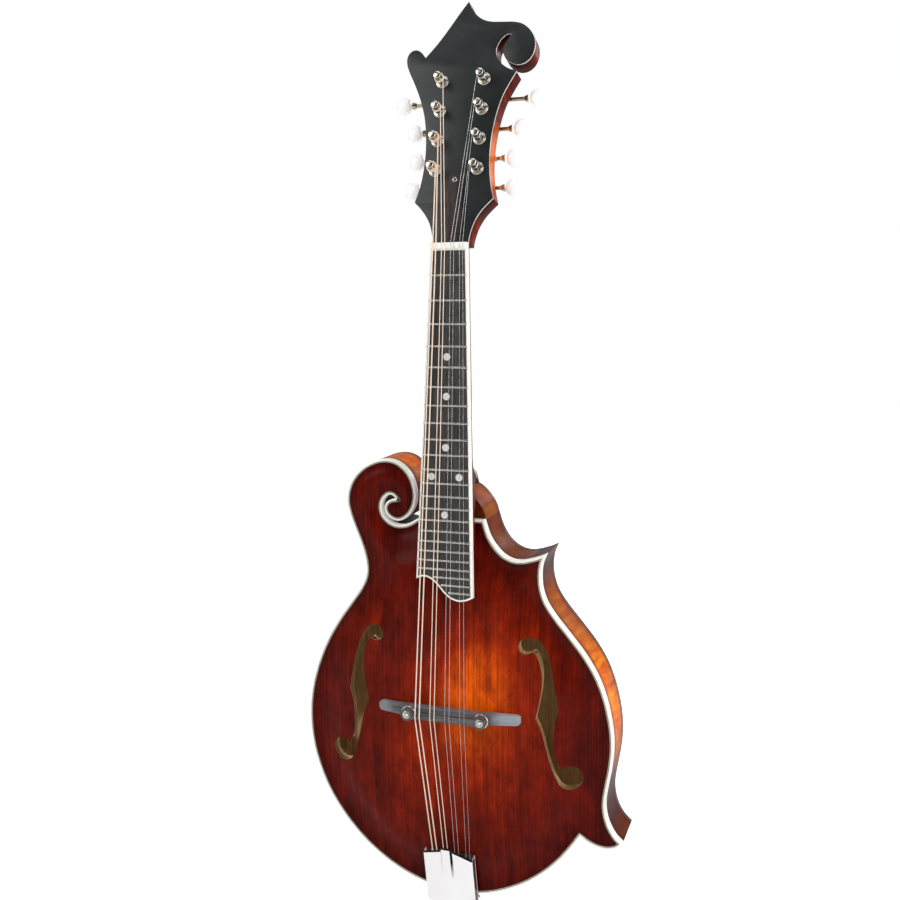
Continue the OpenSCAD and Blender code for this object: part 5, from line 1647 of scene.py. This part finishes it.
def make_cover_sheet():
    along = tangents(COVER_SECTION)
    inwards = np.stack([along[:, 1], -along[:, 0]], 1)
    outer = cover_points(COVER_SECTION, 0)
    inner = cover_points(COVER_SECTION + inwards * COVER_THICK, COVER_THICK)
    points = outer + inner
    rows = len(COVER_SECTION)
    n, half = len(outer) // rows, len(outer)
    faces = []
    for i in range(rows - 1):
        a, b = i * n, (i + 1) * n
        for k in range(n - 1):
            faces.append((a + k, a + k + 1, b + k + 1, b + k))
            faces.append((half + a + k, half + b + k, half + b + k + 1, half + a + k + 1))
        faces.append((a + n - 1, half + a + n - 1, half + b + n - 1, b + n - 1))
    for a in (0, (rows - 1) * n):
        faces += [(a + k, half + a + k, half + a + k + 1, a + k + 1) for k in range(n - 1)]
    # the end wall hangs down over the tail
    wall = len(points)
    hem = [(x * 0.985, 6.4 if abs(x) < 18.5 else 6.4 - (abs(x) - 18.5) * 1.1)
           for x, _ in COVER_SECTION]
    for line, z in (([p[:2] for p in outer[::n]], COVER_LOW), (hem, COVER_LOW),
                    (hem, COVER_LOW + COVER_THICK),
                    ([p[:2] for p in inner[::n]], COVER_LOW + COVER_THICK)):
        points += [(x, y, z) for x, y in line]
    faces += quads(2, rows, wrap=False, start=wall)
    for i in range(rows - 1):
        for row in (wall + rows, wall + 2 * rows):
            faces.append((row + i, row + i + 1, row + rows + i + 1, row + rows + i))
    o = add_mesh("tail_cover_sheet", points, faces, CHROME, COVER_AT, angle=None)
    rework(o.data, merge=2e-6)
    o.data.set_sharp_from_angle(angle=math.radians(32))
    mark(o, "chrome_cover", "tailpiece_cover", body="cover")


def make_cover_bead():
    """The lip is rolled over: a thin bead follows it, coloured near black as a painted reflection.
    """
    def on_lip(x, y):
        return x, y, look_up(COVER_LIP, x) - 0.15

    lip = [on_lip(x, y + 0.55) for x, y in COVER_SECTION[3:-3]]
    path = []
    for here, ahead in zip(lip[:-1], lip[1:]):
        step = np.subtract(ahead, here)
        n = max(1, int(np.linalg.norm(step) / 0.5))
        path += [tuple(np.add(here, step * k / n)) for k in range(n)]
    path.append(lip[-1])
    add_piece("tail_cover_bead", tube([on_lip(x, y) for x, y, _ in path], 0.85),
              CHROME_LIP_PAINTED_DARK, COVER_AT, "chrome_cover", "tailpiece_cover", body="cover", angle=60)


make_cover_sheet()
make_cover_bead()
add_block("damper_felt", (-17.4, 17.4), (-2.25, -1.24), (36.1, 40.4), FELT, TAIL_AT,
          "felt", "string_damper", width=0.35, segments=3)

# End pin: (radius, height)
END_PIN = [
    (0.0, -5.0), (3.6, -4.95), (5.4, -4.75), (6.5, -4.2), (6.95, -3.3), (7.0, -1.6),
    (6.75, -0.5), (6.1, 0.0), (4.9, 0.15), (4.62, 0.7), (4.55, 2.0), (4.7, 3.3), (5.2, 4.2),
    (6.0, 4.8), (6.15, 5.2), (3.55, 5.2), (3.5, 28.4), (0.0, 28.5)]
add_piece("end_pin_turned", lathe(END_PIN, 56), PLASTIC, turn(-90),
          "black_plastic", "end_pin", angle=40)

# ------------------------------------------------------------------ tuners
# Side (-1 bass, 1 treble), place up the head, and angle of the gear's slot and cross hole.
TUNERS = {
    "g1": (-1, 0, 20), "g2": (-1, 1, -35), "d1": (-1, 2, 60), "d2": (-1, 3, 10),
    "e1": (1, 0, -20), "e2": (1, 1, 45), "a1": (1, 2, -60), "a2": (1, 3, 30)}
# Lathe profiles as (radius, distance forwards)
BUSHING = [
    (3.06, -8.9), (3.98, -8.9), (3.98, -0.1), (5.0, -0.05), (5.12, 0.25), (5.1, 0.8),
    (4.85, 1.15), (4.45, 1.3), (4.25, 1.36), (4.2, 1.8), (4.0, 2.05), (3.5, 2.12),
    (3.12, 2.05), (3.06, 1.8)]
POST_WAIST = 2.42
POST = [
    (0.0, -21.7), (2.2, -21.7), (2.4, -21.4), (2.4, -20.95), (POST_R, -20.9), (POST_R, 6.3),
    (2.95, 6.6), (2.62, 7.3), (2.44, 8.2), (POST_WAIST, 9.4), (2.6, 10.4), (2.9, 11.1),
    (POST_R, 11.5), (POST_R, 12.9), (2.86, 13.3), (2.5, 13.55), (1.2, 13.62), (0.0, 13.62)]
# Half of a button, from its middle out: (radius, half thickness)
BUTTON_HALF = [
    (0.0, 3.9), (1.6, 3.88), (3.1, 3.72), (4.4, 3.4), (5.3, 2.95), (6.0, 2.3), (6.45, 1.5),
    (6.68, 0.6)]


def post_at(side, place):
    return HEAD_AT @ shift(side * POST_X, 0, POST_Z[place])


def gear():
    """Gear with rounded teeth, round the post's axis."""
    n = GEAR_TEETH * 12
    # change of radius, y
    levels = ((-0.25, GEAR_Y + 1.3), (0.0, GEAR_Y + 1.0), (0.0, GEAR_Y - 1.0),
              (-0.25, GEAR_Y - 1.3))
    points, faces = [], []
    for i in range(n):
        a = 2 * math.pi * i / n
        r = GEAR_CENTRES - 2.65 - TOOTH_SWING * math.cos(a * GEAR_TEETH)
        points += [((r + dr) * math.sin(a), y, -(r + dr) * math.cos(a)) for dr, y in levels]
        j = (i + 1) % n
        faces += [(i * 4 + k, j * 4 + k, j * 4 + k + 1, i * 4 + k + 1) for k in range(3)]
    faces += [tuple(i * 4 for i in range(n - 1, -1, -1)), tuple(i * 4 + 3 for i in range(n))]
    return points, faces


def cross_hole(angle):
    """Two dark mouths on opposite sides of the post's waist."""
    mouth = lathe([(0.0, 0.03), (0.85, 0.03), (1.0, -0.1), (1.0, -0.5)], 20)
    return join([placed(mouth, turn(angle + a, "Y") @ shift(POST_WAIST, HOLE_Y, 0)
                        @ turn(90, "Z")) for a in (0, 180)])


def worm(side):
    """A round bar off its axis, twisted one turn a pitch."""
    around, rows = 28, 84
    length = 3.5 * WORM_PITCH
    points = []
    for i in range(rows + 1):
        z = -length / 2 + length * i / rows
        twist = -2 * math.pi * (z / WORM_PITCH) * side
        fade = min(1.0, 4 * min(i, rows - i) / rows + 0.25)
        size = 1 - 0.18 * (1 - fade)
        for k in range(around):
            a = 2 * math.pi * k / around
            points.append(((-TOOTH_SWING * math.cos(twist) + 2.4 * math.cos(a)) * size,
                           (-TOOTH_SWING * math.sin(twist) + 2.4 * math.sin(a)) * size, z))
    return points, quads(rows + 1, around) + end_caps(rows + 1, around)


def key_shaft(far):
    """Shaft along +z that ends just before the button at far."""
    profile = [(0.0, -6.6), (1.4, -6.6), (1.55, -6.4), (1.55, 7.3), (2.2, 7.4), (2.3, 7.6),
               (2.3, 8.4), (2.15, 8.6), (1.55, 8.7), (1.5, far - 10.4), (1.9, far - 9.9),
               (2.3, far - 9.2), (2.45, far - 8.4), (2.75, far - 7.6), (2.95, far - 6.9),
               (2.6, far - 6.6), (0.0, far - 6.5)]
    return placed(lathe(profile, 32), turn(-90))


def button():
    """Rounded disc, slightly narrowed on its -z side."""
    profile = [(r, -a) for r, a in BUTTON_HALF] + [(6.7, 0.0)] + BUTTON_HALF[::-1]
    points, faces = lathe(profile, 56)
    return [(x, y, z * (1.0 if z > 0 else 1.0 - 0.02 * abs(z))) for x, y, z in points], faces


def make_tuner(name, side, place, angle):
    at = post_at(side, place)
    post, key = "post_" + name, "key_" + name
    add_piece(post + "_turned", lathe(POST, 40), NICKEL, at, "nickel", "tuner_post_" + name,
              body=post, angle=40, face_out=True)
    add_piece("gear_" + name, gear(), BRASS, at, "nickel", "tuner_post_" + name,
              body=post, angle=30, face_out=True)
    add_piece(post + "_hole", cross_hole(angle), LINE_BLACK, at, "nickel", body=post)
    add_block("gear_" + name + "_slot", (-2.1, 2.1), (GEAR_Y + 2.3, GEAR_Y + 2.43),
              (-0.3, 0.3), LINE_BLACK, at @ turn(angle, "Y"), "nickel", body=post, width=0.02)
    key_at = (HEAD_AT @ shift(side * POST_X, GEAR_Y, POST_Z[place] - GEAR_CENTRES)
              @ turn(side * 90, "Y"))
    far = KEY_X[place] - POST_X
    add_piece(key + "_worm", join([worm(side), key_shaft(far)]), SHAFT, key_at,
              "nickel", "tuner_key_" + name, body=key, face_out=True)
    add_piece(key + "_button", button(), KEY_PEARL, key_at @ shift(0, 0, far),
              "key_pearl", "tuner_key_" + name, body=key, angle=60, face_out=True)


add_piece("tuner_bushing_rings",
          join([placed(lathe(BUSHING, closed=True), shift(side * POST_X, 0, z))
                for side in (-1, 1) for z in POST_Z]),
          NICKEL, HEAD_AT, "nickel", "tuner_bushings", face_out=True)
for name, (side, place, angle) in TUNERS.items():
    make_tuner(name, side, place, angle)

# ------------------------------------------------------------------ strings
# Courses from bass to treble: letter, material, slot
COURSES = [("g", WOUND_G, "bronze_wound"), ("d", WOUND_D, "bronze_wound"),
           ("a", PLAIN, "plain_steel"), ("e", PLAIN, "plain_steel")]
# Strings from bass to treble: tuner, turns round its post
STRINGS = [("g1", 3.2), ("g2", 3.4), ("d1", 3.6), ("d2", 3.8),
           ("a2", 5.0), ("a1", 5.0), ("e2", 5.6), ("e1", 5.6)]
HOOK_R, HOOK_Y, HOOK_Z = 0.8, -3.6, (16, 21)


def row_point(place, x, y, z):
    return np.array(place @ Vector((x, y, z)))


def straight(start, end, n):
    return [start + (end - start) * (i / n) for i in range(n + 1)]


def string_tubes(i):
    """The string's tubes by stretch: tail to saddle, saddle to nut, nut to post."""
    r = STRING_R[i // 2]
    side, place, _ = TUNERS[STRINGS[i][0]]
    hook_x, hook_z = tail_x(i), HOOK_Z[i % 2]
    hook = row_point(TAIL_AT, hook_x + HOOK_R + r + 0.08, HOOK_Y, hook_z)
    saddle = np.array([saddle_x(i), SADDLE_TOP - r - 0.06, BRIDGE_Z + BODY_Z])
    nut = row_point(NECK_AT, nut_x(i), SLOT_FLOOR - r - STRING_LAY, 4.36)
    post = row_point(HEAD_AT, side * (POST_X - POST_R - r - STRING_LAY), HOLE_Y, POST_Z[place])
    loop_r = HOOK_R + r + 0.1
    loop = [row_point(TAIL_AT, hook_x + loop_r * math.cos(t), -3.5,
                      hook_z + loop_r * math.sin(t))
            for t in np.linspace(-0.2, math.pi + 0.5, 16)[::-1]]
    along = (saddle - hook) / np.linalg.norm(saddle - hook)
    twist = [hook + along * s for s in np.linspace(-0.5, 11, 24)]
    return {"tail": [tube(loop, max(r * 0.7, 0.14), 8), tube(twist, r * 1.4 + 0.06, 10),
                     tube(straight(hook, saddle, 24), r, 12)],
            "main": [tube(straight(saddle, nut, 60), r, 12)],
            "head": [tube(straight(nut, post, 12), r, 12)]}


def joined_flow(tubes):
    return [value for part in tubes for value in part[2]]


def make_winding(i):
    """The coil round the post, and the cut end poking out of the cross hole."""
    name, turns = STRINGS[i]
    course, mat, slot = COURSES[i // 2]
    side, place, _ = TUNERS[name]
    at, r = post_at(side, place), STRING_R[i // 2]
    n = int(turns * 28)
    coil = []
    for k in range(n + 1):
        t = k / n
        a = (math.pi if side > 0 else 0) - side * t * turns * 2 * math.pi
        radius = POST_R + r + STRING_LAY + 0.12 * math.sin(k * 0.7)
        y = -9.4 + t * min(2 * r * turns * 1.1, 5.4)
        coil.append(row_point(at, radius * math.cos(a), y, radius * math.sin(a)))
    start = row_point(at, 1.5, HOLE_Y, -1.5)
    bend = row_point(at, 3.8, -8.4, -3.8)
    tip = row_point(at, 4.1, -7.6, -4.0)
    cut_end = [start, (start + bend) / 2, bend, bend * 0.4 + tip * 0.6, tip]
    tubes = [tube(coil, r), tube(cut_end, max(r * 0.9, 0.2), 8)]
    add_piece("winding_" + name, join(tubes), mat, ROW_AT, slot, "strings_" + course,
              body="post_" + name, flow=joined_flow(tubes))


def make_course(number):
    course, mat, slot = COURSES[number]
    first = 2 * number
    pair = [string_tubes(first), string_tubes(first + 1)]
    # the stretch to the head is attached to the root; the tail and main stretches are baked into
    # the row frame
    for stretch in ("tail", "main", "head"):
        tubes = pair[0][stretch] + pair[1][stretch]
        o = add_mesh("string_" + course + "_" + stretch, *join(tubes), mat,
                     flow=joined_flow(tubes), angle=60)
        if stretch == "head":
            mark(o, slot, "strings_" + course)
        else:
            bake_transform(o)
            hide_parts("strings_" + course)


for i in range(len(STRINGS)):
    make_winding(i)
for number in range(len(COURSES)):
    make_course(number)

# ------------------------------------------------------------------ CAD pieces kept as they are
KEPT = [
    (RAW, "inner_wood", ("neck_block", "tail_block", "point_blocks", "top_lining",
                         "back_lining", "tone_bars")),
    (STEEL, "steel", ("truss_rod",)),
    (NICKEL, "nickel", ("tailpiece_base", "tailpiece_screws", "tuner_plate_bass",
                        "tuner_plate_treble", "tuner_plate_screws"))]
for mat, slot, names in KEPT:
    for name in names:
        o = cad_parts[name]
        o.data.materials.clear()
        o.data.materials.append(mat)
        if mat is NICKEL:
            bevel = o.modifiers.new("edge", "BEVEL")
            bevel.width = 0.00016
            bevel.segments = 2
            bevel.limit_method = "ANGLE"
            bevel.angle_limit = math.radians(40)
            bevel.harden_normals = False


# ------------------------------------------------------------------ world and floor
def make_world():
    """White to the camera, a soft upward gradient as light, and for reflections a gradient
    that is dark in front and brighter behind."""
    world = bpy.data.worlds.new("studio")
    SCENE.world = world
    world.use_nodes = True
    w = Nodes(world.node_tree)
    rays = w.node("ShaderNodeLightPath").outputs
    _, y, z = w.split(w.node("ShaderNodeTexCoord").outputs["Generated"])

    def background(node, strength):
        node.inputs["Color"].default_value = (1, 1, 1, 1)
        w.feed(node.inputs["Strength"], strength)
        return node.outputs[0]

    light = background(w.tree.nodes["Background"],
                       w.span(z, source=(-0.3, 0.7), to=(0.12, 0.45)))
    white = background(w.node("ShaderNodeBackground"), 1.0)
    mirrored_room = background(w.node("ShaderNodeBackground"),
                               w.span(y, source=(-0.75, 0.5), to=(0.05, 0.5)))
    seen = w.mix_shader(rays["Is Camera Ray"], light, white)
    surface = w.mix_shader(rays["Is Glossy Ray"], seen, mirrored_room)
    w.feed(w.tree.nodes["World Output"].inputs["Surface"], surface)


def make_floor():
    """White paper that glows to the camera only."""
    m = two_tone("floor_paper", (0.86, 0.86, 0.86), (0.9, 0.9, 0.9), noise={"scale": 90},
                 rough=0.9, spec=0.1, bump={"strength": 0.02, "distance": 0.0003})
    paper = m.shader.outputs[0]
    glow = m.node("ShaderNodeEmission")
    glow.inputs["Strength"].default_value = 0.9
    glowing = m.fed("ShaderNodeAddShader", (paper, glow.outputs[0])).outputs[0]
    camera_ray = m.node("ShaderNodeLightPath").outputs["Is Camera Ray"]
    m.feed(m.tree.nodes["Material Output"].inputs["Surface"],
           m.mix_shader(camera_ray, paper, glowing))
    half = 4000
    corners = [(-half, -half, 0), (half, -half, 0), (half, half, 0), (-half, half, 0)]
    add_mesh("floor", corners, [(0, 1, 2, 3)], m.material, shift(0, 0, -16))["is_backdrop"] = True


make_world()
make_floor()


# ------------------------------------------------------------------ lights and camera
def area_light(name, location, width, height, power):
    """A rectangular light that faces the middle of the instrument (metres, watts)."""
    light = bpy.data.lights.new(name, "AREA")
    light.shape = "RECTANGLE"
    light.size = width
    light.size_y = height
    light.energy = power
    o = bpy.data.objects.new(name, light)
    SCENE.collection.objects.link(o)
    o.location = location
    towards = Vector((0, 0, 0.35)) - Vector(location)
    o.rotation_euler = towards.to_track_quat("-Z", "Y").to_euler()


area_light("key_left", (-1.5, -1.5, 1.55), width=1.3, height=1.6, power=20)
area_light("fill_right", (1.9, -0.55, 0.75), width=1.2, height=1.8, power=22)
area_light("rim_back", (0.9, 1.5, 1.2), width=1.0, height=1.0, power=12)
area_light("top_soft", (0.1, -0.2, 2.3), width=1.6, height=1.6, power=8)


def make_camera(azimuth, elevation, roll, position, lens):
    """Angles in degrees, position and lens in millimetres."""
    data = bpy.data.cameras.new("camera")
    camera = bpy.data.objects.new("camera", data)
    SCENE.collection.objects.link(camera)
    az, el, tilt = [math.radians(a) for a in (azimuth, elevation, roll)]
    backward = Vector((math.sin(az) * math.cos(el), -math.cos(az) * math.cos(el),
                       math.sin(el)))
    right = (-backward).cross(Vector((0, 0, 1))).normalized()
    up = right.cross(-backward)
    camera_x = math.cos(tilt) * right + math.sin(tilt) * up
    camera_y = -math.sin(tilt) * right + math.cos(tilt) * up
    matrix = Matrix((camera_x, camera_y, backward)).transposed().to_4x4()
    matrix.translation = Vector(position) * MM
    camera.matrix_world = matrix
    data.sensor_width = 36.0
    data.sensor_fit = "HORIZONTAL"
    data.lens = lens
    data.clip_start = 0.01
    data.clip_end = 50
    SCENE.camera = camera


make_camera(azimuth=19.2146, elevation=8.1752, roll=-0.6903,
            position=(276.39, -820.22, 491.14), lens=44.514)
SCENE.view_settings.view_transform = "Standard"
SCENE.view_settings.look = "None"

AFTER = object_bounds()


def plain(bounds):
    # guards against bounds that aren't rows of numbers
    try:
        return [[float(c) for c in v] for v in bounds]
    except TypeError:
        return json.loads(json.dumps(bounds, default=lambda q: [float(c) for c in q]))


{"before": plain(BEFORE), "after": plain(AFTER)}
